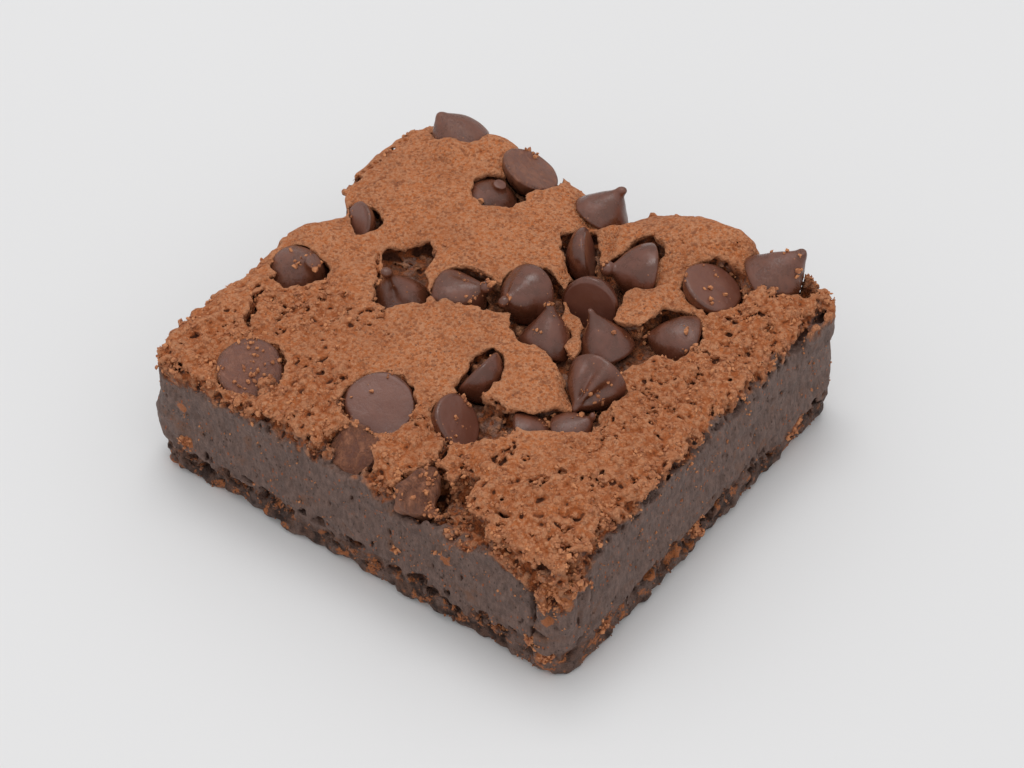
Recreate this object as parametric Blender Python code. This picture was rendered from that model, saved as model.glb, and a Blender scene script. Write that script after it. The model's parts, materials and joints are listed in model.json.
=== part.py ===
"""Chocolate chip brownie: a square cut from a tray, with its chocolate chips.

The brownie body is one solid: four cut sides over a rough base band, and a
crust that domes, cracks and sags round the chips. Every chocolate chip is a
solid of its own that sits in a pocket of the body.

Lengths are in millimetres until a mesh is made. They are measured from the
corner of the cut where the front and left sides meet, with X along the front,
Y to the back and Z up from the underside.
"""
import math
from collections import namedtuple

import bmesh
import bpy
from mathutils import Matrix, Vector, noise

MM = 0.001

# The cut square
WIDTH = 78.0
DEPTH = 70.0
CORNER_RADIUS = 3.6
EDGE_HEIGHT = 22.8
DOME_RISE = 0.7
DOME_REACH = 30.0
SHOULDER_WIDTH = 4.5
SHOULDER_DROP = 1.0
BAND_HEIGHT = 6.5

# Cells of the crust's mesh, and the levels of the sides' mesh as shares of their height
CRUST_CELL = 2.2
SIDE_LEVELS = (0.0, 0.05, 0.13, 0.22, 0.31, 0.44, 0.60, 0.80)

# Lumps of the crust and sides: their sizes and heights, and where the crust is crumbly
CRUST_LUMP_SIZES = (3.3, 1.6)
CRUST_LUMP_HEIGHT = 0.23
CRUMBLY_EDGE = (8.0, 22.0)
LEAST_CRUMBLY = 0.25
SIDE_LUMP_SIZE = 3.6
SIDE_LUMP_SQUASH = 1.6
SMOOTH_SIDE_RELIEF = 0.35
BAND_RELIEF = 1.25
BAND_BLEND = 1.2

# How far the sides stand out at each height: tucked under at the base, fullest
# a third of the way up, leaning back to the crust
SIDE_LEAN = (
    (0.0, -0.3), (1.2, 0.3), (3.5, 0.5), (6.5, 0.8), (9.0, 0.8), (14.0, 0.5), (18.0, 0.3), (23.0, 0.2),
)

# Chips
CHIP_RADIUS = 5.0
CHIP_HEIGHT = 7.6
CHIP_SIDES = 11
CHIP_EDGE = 0.5
TIP_CURL = 0.14
TAPER_START = 1.45
TAPER_END = 1.25
TAPER_SHARES = (0.32, 0.58, 0.80, 0.95)
KNOB_SHARE = 0.93
KNOB_WIDTH = 0.07
POCKET_GAP = 0.32

# A chip whose tip points down more steeply than this shows its flat base, and its pocket is open above it
BASE_UP_RISE = -38
POCKET_REACH = 9.0
POCKET_DRAFT = 0.5

# A smooth rise (or fall) of the crust: its middle, half widths, turn in degrees and height
Swell = namedtuple("Swell", "x y along across turn rise")
SWELLS = (
    Swell(56.7, 68.5, 9.2, 7.5, 0, 4.7),
    Swell(12.0, 64.0, 9.0, 7.0, 0, 1.0),
    Swell(22.0, 50.0, 13.0, 8.0, 0, 0.7),
    Swell(44.0, 28.0, 11.0, 8.0, -15, 0.6),
    Swell(57.5, 51.0, 3.6, 6.5, 0, 1.0),
    Swell(71.0, 60.0, 5.0, 6.0, 0, 1.2),
    Swell(69.0, 18.0, 9.0, 12.0, 0, 0.8),
    Swell(3.5, 69.0, 4.0, 3.5, 0, -1.8),
    Swell(15.0, 69.0, 4.0, 4.0, 0, 1.4),
    Swell(30.0, 70.5, 4.5, 4.5, 0, -1.4),
    Swell(38.5, 70.0, 5.0, 7.0, 0, -4.0),
    Swell(73.5, 69.2, 4.0, 3.2, 0, 2.2),
    Swell(67.0, 71.2, 3.2, 3.2, 0, -3.2),
    Swell(39.0, -2.0, 50.0, 5.0, 0, -0.9),
    Swell(19.5, 38.5, 3.6, 6.0, 25, -2.4),
    Swell(6.0, 41.5, 5.0, 4.0, 0, -1.0),
    Swell(8.0, 27.5, 5.0, 4.5, 0, -0.8),
    Swell(15.0, 4.5, 6.0, 5.0, 0, -0.8),
    Swell(55.5, -0.5, 6.5, 5.0, 0, -2.6),
    Swell(8.0, 62.0, 4.5, 3.0, 0, 1.5),
    Swell(41.5, 63.0, 3.6, 2.6, 0, 2.2),
)

# The split in the crust where most of the chips stand, from the back to the front,
# and the crumbly patch of the crust on the left
SPLIT_LINE = ((38.0, 74.0), (40.0, 61.0), (44.5, 50.0), (49.0, 42.0), (56.0, 35.0), (63.0, 26.0))
SPLIT_HALF_WIDTH = 4.2
SPLIT_DEPTH = 2.0
CRUMBLY_PATCH = Swell(14.0, 20.0, 14.0, 9.0, 0, 1.0)

# A dent in a side: which side, the place along it, its height, half widths and depth
Dent = namedtuple("Dent", "side place height along up depth")
DENTS = (
    Dent("left", 41.0, 22.0, 4.4, 13.0, 4.6),
    Dent("left", 24.0, 20.0, 4.0, 10.0, 1.6),
    Dent("left", 4.0, 20.0, 4.0, 9.0, 1.6),
    Dent("left", 8.0, 8.5, 20.0, 4.5, -1.2),
    Dent("left", 57.0, 22.0, 9.0, 12.0, -1.2),
    Dent("right", 66.0, 21.0, 7.0, 6.0, -1.4),
    Dent("right", 66.0, 8.0, 8.0, 5.0, -0.6),
    Dent("front", 16.0, 5.2, 3.4, 1.8, 1.3),
    Dent("front", 26.5, 5.4, 2.4, 1.6, 1.3),
    Dent("front", 39.5, 5.0, 2.2, 1.8, 1.3),
    Dent("front", 48.5, 5.4, 2.0, 1.6, 1.2),
    Dent("front", 66.0, 4.6, 2.4, 1.8, 1.4),
    Dent("right", 15.0, 5.6, 3.4, 1.6, 1.0),
    Dent("right", 26.0, 6.0, 3.0, 1.6, 1.2),
    Dent("right", 47.0, 6.2, 3.4, 1.6, 1.0),
    Dent("right", 40.5, 24.5, 2.2, 2.6, 1.8),
    Dent("right", 58.0, 23.5, 2.0, 3.0, 1.4),
    Dent("back", 38.5, 22.0, 5.0, 8.0, 1.6),
    Dent("back", 20.0, 5.5, 3.0, 1.8, 1.2),
    Dent("back", 52.0, 5.5, 3.0, 1.8, 1.2),
)

# A chip: its base's middle, the way its tip points (turn from +X, rise above level,
# both in degrees), its size against the usual chip, the way its tip curls (0 down, 180 up),
# and the height that a chip of size 1 and its form would have
Chip = namedtuple("Chip", "x y z turn rise size curl tall", defaults=(CHIP_HEIGHT,))
CHIPS = {
    "far_left_corner": Chip(8.3, 66.8, 21.2, -179, 54, 1.0, 35, 7.4),
    "back_tilted_disc": Chip(22.6, 66.8, 23.9, -138, -60, 1.0, 0, 5.6),
    "back_in_hole": Chip(20.3, 58.8, 20.9, 18, 71, 0.92, 0, 5.4),
    "back_standing": Chip(36.8, 65.9, 21.4, 54, 60, 0.94, 315, 7.0),
    "split_edge_on": Chip(41.9, 56.3, 22.4, -147, -14, 0.9, 0, 4.6),
    "split_curled": Chip(51.9, 57.4, 23.0, -139, 19, 1.0, 20),
    "split_leaning_disc": Chip(48.9, 46.3, 23.2, 106, -13, 0.93, 0),
    "split_big": Chip(39.8, 43.4, 22.8, -96, 31, 0.95, 0, 7.4),
    "split_half_buried": Chip(30.1, 37.3, 20.8, 6, 43, 1.0, 80),
    "middle_standing": Chip(47.5, 36.8, 20.5, 87, 61, 0.84, 120, 8.8),
    "right_standing": Chip(55.1, 41.9, 20.4, 172, 71, 0.92, 0, 8.0),
    "split_folded": Chip(59.8, 34.0, 23.6, -86, 3, 0.96, 0),
    "right_lying": Chip(64.7, 50.2, 20.6, -148, 24, 0.88, 0),
    "right_tilted_disc": Chip(62.7, 59.3, 25.0, -156, -63, 0.97, 0),
    "back_right_lying": Chip(67.8, 65.7, 22.8, 40, 42, 1.02, 180, 8.6),
    "left_edge_on": Chip(7.0, 40.9, 22.4, 59, -30, 0.77, 0, 5.6),
    "left_in_hole": Chip(6.4, 28.0, 20.4, -4, 56, 1.0, 0, 6.4),
    "left_hollow": Chip(22.6, 32.4, 20.2, -133, 80, 0.98, 0),
    "front_left_disc": Chip(15.8, 6.3, 22.6, 149, -62, 1.0, 0),
    "front_flat_disc": Chip(36.2, 11.7, 22.6, 129, -62, 1.04, 0),
    "front_cut": Chip(38.3, 2.8, 20.6, 92, -42, 0.8, 0),
    "middle_on_edge": Chip(43.7, 24.7, 23.2, 2, -32, 0.9, 0),
    "middle_tilted_disc": Chip(48.0, 15.7, 22.8, -164, -40, 0.84, 0),
    "low_oval": Chip(55.3, 19.9, 20.4, 38, 10, 0.76, 0),
    "low_knobbed": Chip(61.3, 24.0, 20.1, 42, 43, 0.8, 180),
    "front_broken": Chip(49.8, 3.3, 19.4, -20, 7, 0.8, 0),
}

# An opening broken through the crust: the height of its floor and its outline in plan
Opening = namedtuple("Opening", "floor outline")
OPENINGS = (
    Opening(20.4, (
        (40.3, 60.3), (38.6, 61.4), (36.9, 60.0), (36.2, 56.5), (38.0, 53.5), (42.6, 50.0), (43.4, 47.6),
        (39.0, 48.7), (35.8, 47.4), (35.1, 44.0), (35.6, 41.6), (30.5, 42.2), (27.4, 41.0), (26.7, 38.0),
        (27.4, 35.0), (29.6, 32.8), (35.5, 34.8), (41.0, 36.6), (42.8, 34.2), (45.5, 32.6), (50.0, 33.2),
        (54.5, 31.6), (59.8, 26.7), (58.0, 24.9), (56.9, 22.2), (52.6, 20.8), (53.4, 18.3), (57.4, 17.8),
        (60.0, 20.0), (64.6, 22.4), (65.3, 24.6), (64.1, 29.0), (64.7, 32.0), (62.3, 37.2), (63.0, 41.4),
        (66.8, 45.2), (67.8, 47.0), (65.3, 52.1), (63.0, 53.6), (59.4, 51.2), (58.3, 46.0), (54.6, 44.8),
        (52.4, 50.0), (53.4, 58.6), (51.4, 62.4), (48.4, 63.9), (46.3, 62.0), (45.9, 57.0), (44.3, 55.9),
    )),
    Opening(20.8, (
        (17.4, 61.6), (16.7, 58.6), (19.4, 54.9), (22.0, 54.6), (26.2, 57.0), (26.5, 63.0), (22.0, 63.4),
    )),
    Opening(20.6, (
        (15.1, 38.6), (15.6, 36.6), (18.4, 34.0), (19.9, 30.0), (22.0, 27.2), (25.0, 27.4), (28.9, 31.6),
        (28.2, 33.4), (24.2, 37.8), (22.6, 42.0), (20.2, 43.6), (17.4, 41.6),
    )),
    Opening(20.2, (
        (3.2, 28.2), (3.2, 25.6), (6.0, 22.5), (9.0, 22.4), (12.4, 26.4), (11.6, 29.6), (7.6, 31.2),
    )),
    Opening(21.0, (
        (43.6, 29.3), (42.8, 26.4), (43.6, 19.4), (45.4, 18.7), (48.6, 18.7), (48.8, 24.6), (45.8, 29.0),
    )),
    Opening(20.6, ((3.9, 43.4), (6.2, 40.8), (9.9, 37.8), (11.2, 40.2), (11.3, 43.6), (7.0, 45.1))),
    Opening(18.6, (
        (47.6, 3.2), (48.0, -3.0), (59.0, -3.0), (63.6, -1.0), (63.8, 2.4), (58.6, 3.8), (57.6, 7.6),
        (55.7, 7.6), (54.9, 5.2), (51.6, 6.7),
    )),
    Opening(21.4, ((72.4, 67.8), (74.6, 65.4), (76.4, 67.4), (74.4, 69.0))),
)

# The plate of crust left standing in the middle of the first opening
PLATE_OUTLINE = (
    (45.3, 44.9), (47.6, 41.0), (50.8, 37.2), (53.8, 35.6), (52.6, 39.0), (51.4, 42.2), (48.2, 43.4),
)

# A crack: the points it runs through, its width at the crust and its depth
Crack = namedtuple("Crack", "points width depth")
CRACKS = (
    Crack(((6.6, 19.6), (7.6, 15.4), (10.8, 12.0)), 0.7, 2.4),
    Crack(((41.6, 11.6), (44.6, 12.6)), 0.6, 2.0),
    Crack(((51.6, 10.4), (50.6, 6.0)), 0.8, 2.6),
    Crack(((62.0, 3.4), (67.0, 5.4), (70.0, 8.6)), 0.7, 2.2),
)

# How far the cutters of cracks stand above the crust, the height that those of openings reach,
# and the foot of the plate, under the floor of its opening
CRACK_ABOVE = 8.0
OPENING_TOP = 34.0
PLATE_FOOT = 19.0


def blend(value, low, high):
    """Returns 0 below low, 1 above high and a smooth step between."""
    share = min(1.0, max(0.0, (value - low) / (high - low)))
    return share * share * (3.0 - 2.0 * share)


def bell(x, y, place):
    """Returns the height, from 0 to 1, of a bell over a swell's middle."""
    turn = math.radians(place.turn)
    dx = x - place.x
    dy = y - place.y
    along = (dx * math.cos(turn) + dy * math.sin(turn)) / place.along
    across = (dy * math.cos(turn) - dx * math.sin(turn)) / place.across
    return math.exp(-along * along - across * across)


def distance_to_line(x, y, line):
    """Returns the distance in plan from a point to a line of straight stretches."""
    nearest = 1e9
    for (x0, y0), (x1, y1) in zip(line, line[1:]):
        run_x = x1 - x0
        run_y = y1 - y0
        share = ((x - x0) * run_x + (y - y0) * run_y) / (run_x * run_x + run_y * run_y)
        share = min(1.0, max(0.0, share))
        nearest = min(nearest, math.hypot(x - x0 - share * run_x, y - y0 - share * run_y))
    return nearest


def distance_inside(x, y):
    """Returns how far a point lies inside the square's outline."""
    return min(x, WIDTH - x, y, DEPTH - y)


def crumbliness(x, y):
    """Returns how crumbly the crust is: high along the left, front and right, low on the smooth skin."""
    edge = 1.0 - blend(min(y, WIDTH - x), *CRUMBLY_EDGE)
    return max(LEAST_CRUMBLY, edge, bell(x, y, CRUMBLY_PATCH))


def crust_height(x, y):
    """Returns the height of the crust over a point of the plan."""
    inside = max(0.0, distance_inside(x, y))
    dome = blend(inside, 0.0, DOME_REACH) * DOME_RISE
    shoulder = max(0.0, 1.0 - inside / SHOULDER_WIDTH) ** 2 * SHOULDER_DROP
    height = EDGE_HEIGHT + SHOULDER_DROP + dome - shoulder
    height += sum(place.rise * bell(x, y, place) for place in SWELLS)
    split = 1.0 - blend(distance_to_line(x, y, SPLIT_LINE), SPLIT_HALF_WIDTH / 2, SPLIT_HALF_WIDTH)
    height -= SPLIT_DEPTH * split
    lumps = sum(noise.noise(Vector((x / size, y / size, size))) * size for size in CRUST_LUMP_SIZES)
    return height + CRUST_LUMP_HEIGHT * crumbliness(x, y) * lumps


def lean(z):
    """Returns how far the sides stand out at a height."""
    for (z0, out0), (z1, out1) in zip(SIDE_LEAN, SIDE_LEAN[1:]):
        if z <= z1:
            return out0 + (out1 - out0) * max(0.0, z - z0) / (z1 - z0)
    return SIDE_LEAN[-1][1]


def side_relief(x, y, z, side):
    """Returns how far a point of a side stands out from the square's outline."""
    out = lean(z)
    band = 1.0 - blend(z, BAND_HEIGHT - BAND_BLEND, BAND_HEIGHT + BAND_BLEND)
    lumps = noise.noise(Vector((x, y, z * SIDE_LUMP_SQUASH)) / SIDE_LUMP_SIZE)
    out += (SMOOTH_SIDE_RELIEF + (BAND_RELIEF - SMOOTH_SIDE_RELIEF) * band) * lumps
    place = x if side in ("front", "back") else y
    for dent in DENTS:
        if dent.side == side:
            along = (place - dent.place) / dent.along
            up = (z - dent.height) / dent.up
            out -= dent.depth * math.exp(-along * along - up * up)
    return out


def round_the_corner(x, y):
    """Moves a point of the square into its outline with rounded corners.

    Returns the moved point, the way out of the outline there and the name of the side.
    """
    half_width = WIDTH / 2
    half_depth = DEPTH / 2
    from_x = x - half_width
    from_y = y - half_depth
    over_x = abs(from_x) - (half_width - CORNER_RADIUS)
    over_y = abs(from_y) - (half_depth - CORNER_RADIUS)
    sign_x = math.copysign(1.0, from_x)
    sign_y = math.copysign(1.0, from_y)
    if over_x > 0.0 and over_y > 0.0:
        length = math.hypot(over_x, over_y)
        squeeze = max(over_x, over_y) / length
        from_x = sign_x * (half_width - CORNER_RADIUS + over_x * squeeze)
        from_y = sign_y * (half_depth - CORNER_RADIUS + over_y * squeeze)
        out = (sign_x * over_x / length, sign_y * over_y / length)
    elif half_width - abs(x - half_width) < half_depth - abs(y - half_depth):
        out = (sign_x, 0.0)
    else:
        out = (0.0, sign_y)
    if abs(out[0]) > abs(out[1]):
        side = "right" if out[0] > 0 else "left"
    else:
        side = "back" if out[1] > 0 else "front"
    return (half_width + from_x, half_depth + from_y), out, side


def place_vertex(grid_x, grid_y, level):
    """Returns the body's point for a cell corner of the square, on the crust (level 1) or down a side."""
    (x, y), out, side = round_the_corner(grid_x, grid_y)
    height = crust_height(x, y)
    z = height * level
    inside = distance_inside(grid_x, grid_y)
    reach = side_relief(x, y, z, side) * max(0.0, 1.0 - inside / SHOULDER_WIDTH) ** 2
    return Vector((x + reach * out[0], y + reach * out[1], z)) * MM


def make_material(name, colour, roughness):
    """Returns a plain Principled material."""
    material = bpy.data.materials.new(name)
    material.use_nodes = True
    shader = material.node_tree.nodes["Principled BSDF"]
    shader.inputs["Base Color"].default_value = (*colour, 1.0)
    shader.inputs["Roughness"].default_value = roughness
    shader.inputs["Metallic"].default_value = 0.0
    return material


def make_object(name, bm, material, parent):
    """Turns a bmesh into a named object under the parent."""
    bmesh.ops.recalc_face_normals(bm, faces=bm.faces[:])
    mesh = bpy.data.meshes.new(name)
    bm.to_mesh(mesh)
    bm.free()
    if material:
        mesh.materials.append(material)
    made = bpy.data.objects.new(name, mesh)
    made.parent = parent
    bpy.context.collection.objects.link(made)
    return made


def build_body(material, parent):
    """Builds the brownie's body: a crust of square cells, sides extruded down from its rim, a flat base."""
    cells_x = round(WIDTH / CRUST_CELL)
    cells_y = round(DEPTH / CRUST_CELL)
    bm = bmesh.new()
    bmesh.ops.create_grid(bm, x_segments=cells_x, y_segments=cells_y, size=0.5)
    squares = {vertex: ((vertex.co.x + 0.5) * WIDTH, (vertex.co.y + 0.5) * DEPTH) for vertex in bm.verts}
    for vertex, (x, y) in squares.items():
        vertex.co = place_vertex(x, y, 1.0)
    rim = [edge for edge in bm.edges if edge.is_boundary]
    for level in reversed(SIDE_LEVELS):
        square_at = {tuple(vertex.co): squares[vertex] for edge in rim for vertex in edge.verts}
        made = bmesh.ops.extrude_edge_only(bm, edges=rim)["geom"]
        rim = [item for item in made if isinstance(item, bmesh.types.BMEdge)]
        rim = [edge for edge in rim if edge.is_boundary]
        for vertex in {vertex for edge in rim for vertex in edge.verts}:
            squares[vertex] = square_at[tuple(vertex.co)]
        for vertex in {vertex for edge in rim for vertex in edge.verts}:
            vertex.co = place_vertex(*squares[vertex], level)
    bmesh.ops.contextual_create(bm, geom=rim)
    return make_object("brownie_body", bm, material, parent)


def chip_profile(size, tall, grow, base_up):
    """Returns the (radius, height) points of a chip's side, from its base's edge to below its tip.

    grow moves the whole profile out, square to itself, to make the pocket of a chip.
    The pocket of a chip that lies base up goes on above the base.
    """
    radius = CHIP_RADIUS * size
    height = tall * size
    points = [(radius - CHIP_EDGE, 0.0), (radius, CHIP_EDGE * 1.2)]
    for share in TAPER_SHARES:
        knob = KNOB_WIDTH * math.exp(-((share - KNOB_SHARE) / KNOB_WIDTH) ** 2)
        taper = (1.0 - share ** TAPER_START) ** TAPER_END + knob
        points.append((radius * taper, height * share))
    if not grow:
        return points, height
    if base_up:
        moved = [(radius + grow + POCKET_DRAFT, -POCKET_REACH)]
    else:
        moved = [(points[0][0] + grow * 0.4, -grow)]
    for before, point, after in zip(points, points[1:], points[2:] + [(0.0, height)]):
        run_r = after[0] - before[0]
        run_z = after[1] - before[1]
        length = math.hypot(run_r, run_z)
        moved.append((point[0] + grow * run_z / length, point[1] - grow * run_r / length))
    return moved, height + grow


def build_chip(name, chip, material, parent, grow=0.0):
    """Builds one chip, or its pocket where grow is given, and sets it in its place."""
    points, height = chip_profile(chip.size, chip.tall, grow, chip.rise < BASE_UP_RISE)
    bend = TIP_CURL * chip.tall * chip.size
    bm = bmesh.new()
    rings = []
    for ring_radius, z in points:
        shift = bend * max(0.0, z / height) ** 3
        ring = []
        for side in range(CHIP_SIDES):
            angle = math.tau * side / CHIP_SIDES
            point = Vector((ring_radius * math.cos(angle) + shift, ring_radius * math.sin(angle), z))
            ring.append(bm.verts.new(point * MM))
        rings.append(ring)
    for lower, upper in zip(rings, rings[1:]):
        for side in range(CHIP_SIDES):
            after = (side + 1) % CHIP_SIDES
            bm.faces.new((lower[side], lower[after], upper[after], upper[side]))
    bm.faces.new(list(reversed(rings[0])))
    tip = bm.verts.new(Vector((bend, 0.0, height)) * MM)
    for side in range(CHIP_SIDES):
        bm.faces.new((rings[-1][side], rings[-1][(side + 1) % CHIP_SIDES], tip))
    made = make_object(name, bm, material, parent)
    turn = Matrix.Rotation(math.radians(chip.turn), 3, "Z")
    tilt = Matrix.Rotation(math.radians(90.0 - chip.rise), 3, "Y")
    roll = Matrix.Rotation(math.radians(chip.curl), 3, "Z")
    made.rotation_euler = (turn @ tilt @ roll).to_euler()
    made.location = Vector((chip.x, chip.y, chip.z)) * MM
    return made


def build_prism(name, outline, floor, ceiling, parent):
    """Builds an upright prism on an outline in plan."""
    bm = bmesh.new()
    bottom = [bm.verts.new(Vector((x, y, floor)) * MM) for x, y in outline]
    top = [bm.verts.new(Vector((x, y, ceiling)) * MM) for x, y in outline]
    for index in range(len(outline)):
        after = (index + 1) % len(outline)
        bm.faces.new((bottom[index], bottom[after], top[after], top[index]))
    bm.faces.new(list(reversed(bottom)))
    bm.faces.new(top)
    return make_object(name, bm, None, parent)


def build_crack(name, crack, parent):
    """Builds the cutter of a crack: a wedge, wide above the crust and sharp below, along its points."""
    bm = bmesh.new()
    points = [Vector(point) for point in crack.points]
    sections = []
    for index, point in enumerate(points):
        before = points[max(0, index - 1)]
        after = points[min(len(points) - 1, index + 1)]
        way = (after - before).normalized()
        side = Vector((-way.y, way.x)) * crack.width / 2
        surface = crust_height(point.x, point.y)
        foot = Vector((point.x, point.y, surface - crack.depth)) * MM
        wide = (crack.depth + CRACK_ABOVE) / crack.depth
        corners = []
        for sign in (-1.0, 1.0):
            shift = side * wide * sign
            corners.append(Vector((point.x + shift.x, point.y + shift.y, surface + CRACK_ABOVE)) * MM)
        sections.append([bm.verts.new(corner) for corner in (foot, corners[0], corners[1])])
    for first, second in zip(sections, sections[1:]):
        for corner in range(3):
            after = (corner + 1) % 3
            bm.faces.new((first[corner], first[after], second[after], second[corner]))
    bm.faces.new(sections[0])
    bm.faces.new(list(reversed(sections[-1])))
    return make_object(name, bm, None, parent)


def cut_away(body, name, tools):
    """Cuts a collection of other shapes out of the body, and keeps them out of the render."""
    collection = bpy.data.collections.new(name)
    bpy.context.scene.collection.children.link(collection)
    for tool in tools:
        bpy.context.collection.objects.unlink(tool)
        collection.objects.link(tool)
        tool.hide_render = True
        tool.display_type = "WIRE"
    modifier = body.modifiers.new(name, "BOOLEAN")
    modifier.operation = "DIFFERENCE"
    modifier.operand_type = "COLLECTION"
    modifier.collection = collection
    modifier.solver = "EXACT"


def centre_on_underside(corner, solids):
    """Moves the corner of the cut so that the origin is the middle of the solids' underside."""
    bpy.context.view_layer.update()
    points = [solid.matrix_world @ vertex.co for solid in solids for vertex in solid.data.vertices]
    low = [min(point[axis] for point in points) for axis in range(3)]
    high = [max(point[axis] for point in points) for axis in range(3)]
    corner.location -= Vector(((low[0] + high[0]) / 2, (low[1] + high[1]) / 2, low[2]))


def main():
    """Builds the brownie and centres it on its own underside."""
    for item in list(bpy.data.objects):
        bpy.data.objects.remove(item)
    crumb = make_material("brownie crumb", (0.165, 0.070, 0.036), 0.85)
    chocolate = make_material("chip chocolate", (0.060, 0.028, 0.020), 0.42)
    corner = bpy.data.objects.new("corner_of_the_cut", None)
    bpy.context.collection.objects.link(corner)

    body = build_body(crumb, corner)
    solids = [body]
    openings = []
    for number, opening in enumerate(OPENINGS):
        openings.append(build_prism(f"opening_{number}", opening.outline, opening.floor, OPENING_TOP, corner))
    for number, crack in enumerate(CRACKS):
        openings.append(build_crack(f"crack_{number}", crack, corner))
    plate = build_prism("plate_in_opening", PLATE_OUTLINE, PLATE_FOOT, OPENING_TOP + 1.0, corner)
    cut_away(openings[0], "plate_left_standing", [plate])
    pockets = []
    for name, chip in CHIPS.items():
        solids.append(build_chip("chip_" + name, chip, chocolate, corner))
        pockets.append(build_chip("pocket_" + name, chip, None, corner, grow=POCKET_GAP))
    cut_away(body, "openings_and_pockets", openings + pockets)
    centre_on_underside(corner, solids)


main()
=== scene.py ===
"""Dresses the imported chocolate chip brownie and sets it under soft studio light.

Lengths are in millimetres until a mesh is made. Places are measured from the
corner of the cut where the front and left sides meet, with X along the front,
Y to the back and Z up from the underside.
"""
import json
import logging
import math
from dataclasses import dataclass, field
from enum import Enum, IntEnum
from itertools import combinations
from typing import Iterable, Optional, Sequence

import bmesh
import bpy
import numpy as np
from mathutils import Matrix, Vector, noise
from mathutils.kdtree import KDTree

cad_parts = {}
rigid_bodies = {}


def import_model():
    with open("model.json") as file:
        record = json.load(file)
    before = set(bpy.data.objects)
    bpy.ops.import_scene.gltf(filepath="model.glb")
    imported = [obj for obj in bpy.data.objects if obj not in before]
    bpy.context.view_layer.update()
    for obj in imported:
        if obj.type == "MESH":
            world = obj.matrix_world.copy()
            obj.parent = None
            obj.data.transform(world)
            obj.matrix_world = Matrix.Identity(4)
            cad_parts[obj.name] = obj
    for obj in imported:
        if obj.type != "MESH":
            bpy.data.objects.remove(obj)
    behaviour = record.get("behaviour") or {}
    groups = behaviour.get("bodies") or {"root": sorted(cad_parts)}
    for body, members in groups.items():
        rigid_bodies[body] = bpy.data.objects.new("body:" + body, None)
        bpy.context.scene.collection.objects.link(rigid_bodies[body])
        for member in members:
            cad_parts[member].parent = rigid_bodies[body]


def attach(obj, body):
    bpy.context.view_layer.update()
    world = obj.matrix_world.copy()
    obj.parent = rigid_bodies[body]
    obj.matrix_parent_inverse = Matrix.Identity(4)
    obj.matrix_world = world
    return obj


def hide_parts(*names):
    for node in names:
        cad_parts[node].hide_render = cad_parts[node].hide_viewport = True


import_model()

MM = 0.001
CUT_CORNER = np.array((-39.0008, -35.2582, 0.0))
ROOM = ((-1.78, -1.25, 0.04), (79.76, 71.68, 29.56))
BASE_FILLET = 0.55
FLAT_RINGS = (0.25, 0.5, 0.75, 0.92, 1.0)
PINCH_ABOVE_KNOB = 1.1
LOWEST_CRUMB = 0.7
FACING_UP = 0.35
DEEPEST_SHOWN = 2.0

Point = tuple[float, float]
Place = tuple[float, float, float]
Colour = tuple[float, float, float]
Shape = tuple[int, ...]
Socket = bpy.types.NodeSocket

log = logging.getLogger("brownie")


class Side(Enum):
    """The four cut sides, each with the axis that runs along it and the way it faces."""

    FRONT = (0, -1)
    BACK = (0, 1)
    LEFT = (1, -1)
    RIGHT = (1, 1)


class TipShape(Enum):
    """How the tip of a chip ended when it was dropped on the belt.

    Each holds the half width of the neck, the half width of the knob and the
    length of the rounded end, as shares of the chip's half width and height.
    """

    POINTED = (0.10, 0.10, 0.07)
    KNOBBED = (0.13, 0.17, 0.11)
    CURLED = (0.16, 0.23, 0.14)
    BLUNT = (0.18, 0.18, 0.13)
    BROKEN = (0.24, 0.24, 0.035)


class Seed(IntEnum):
    """What sets the random draws apart, those of the body and those of the loose crumbs."""

    RELIEF = 3
    PLAN = 5
    ZONES = 9
    BASE = 11
    PORES = 17
    OPENINGS = 21
    EDGES = 29
    SEATS = 33
    SCATTER = 100
    CHIP_CRUMBS = 900


class CrumbSite(Enum):
    """What loose crumbs lie on."""

    CRUST = "crust"
    CHIP = "chip"
    CUT_FACE = "cut_face"
    BASE_BAND = "base_band"
    TUFT = "tuft"


def blend(value: np.ndarray, low: float, high: float) -> np.ndarray:
    """Steps smoothly from 0 to 1 while a value goes from low to high."""
    share = np.clip((value - low) / (high - low), 0.0, 1.0)
    return share * share * (3.0 - 2.0 * share)


def soft_min(first: np.ndarray, second: np.ndarray, round_off: float) -> np.ndarray:
    """Takes the smaller of two values, rounded over a width where they are close."""
    share = np.clip(0.5 + 0.5 * (second - first) / round_off, 0.0, 1.0)
    return second * (1.0 - share) + first * share - round_off * share * (1.0 - share)


def path_distance(x: np.ndarray, y: np.ndarray, path: Sequence[Point]) -> np.ndarray:
    """Measures how far points lie from an open path.

    Args:
        x: The points' first coordinates.
        y: Their second coordinates.
        path: The points that the path runs through.

    Returns:
        The distance to the path.
    """
    nearest = np.full(x.shape, 1e9, np.float32)
    for (x0, y0), (x1, y1) in zip(path, path[1:]):
        run_x, run_y = x1 - x0, y1 - y0
        share = ((x - x0) * run_x + (y - y0) * run_y) / (run_x * run_x + run_y * run_y)
        share = np.clip(share, 0.0, 1.0)
        nearest = np.minimum(nearest, (x - x0 - share * run_x) ** 2 + (y - y0 - share * run_y) ** 2)
    return np.sqrt(nearest)


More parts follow.
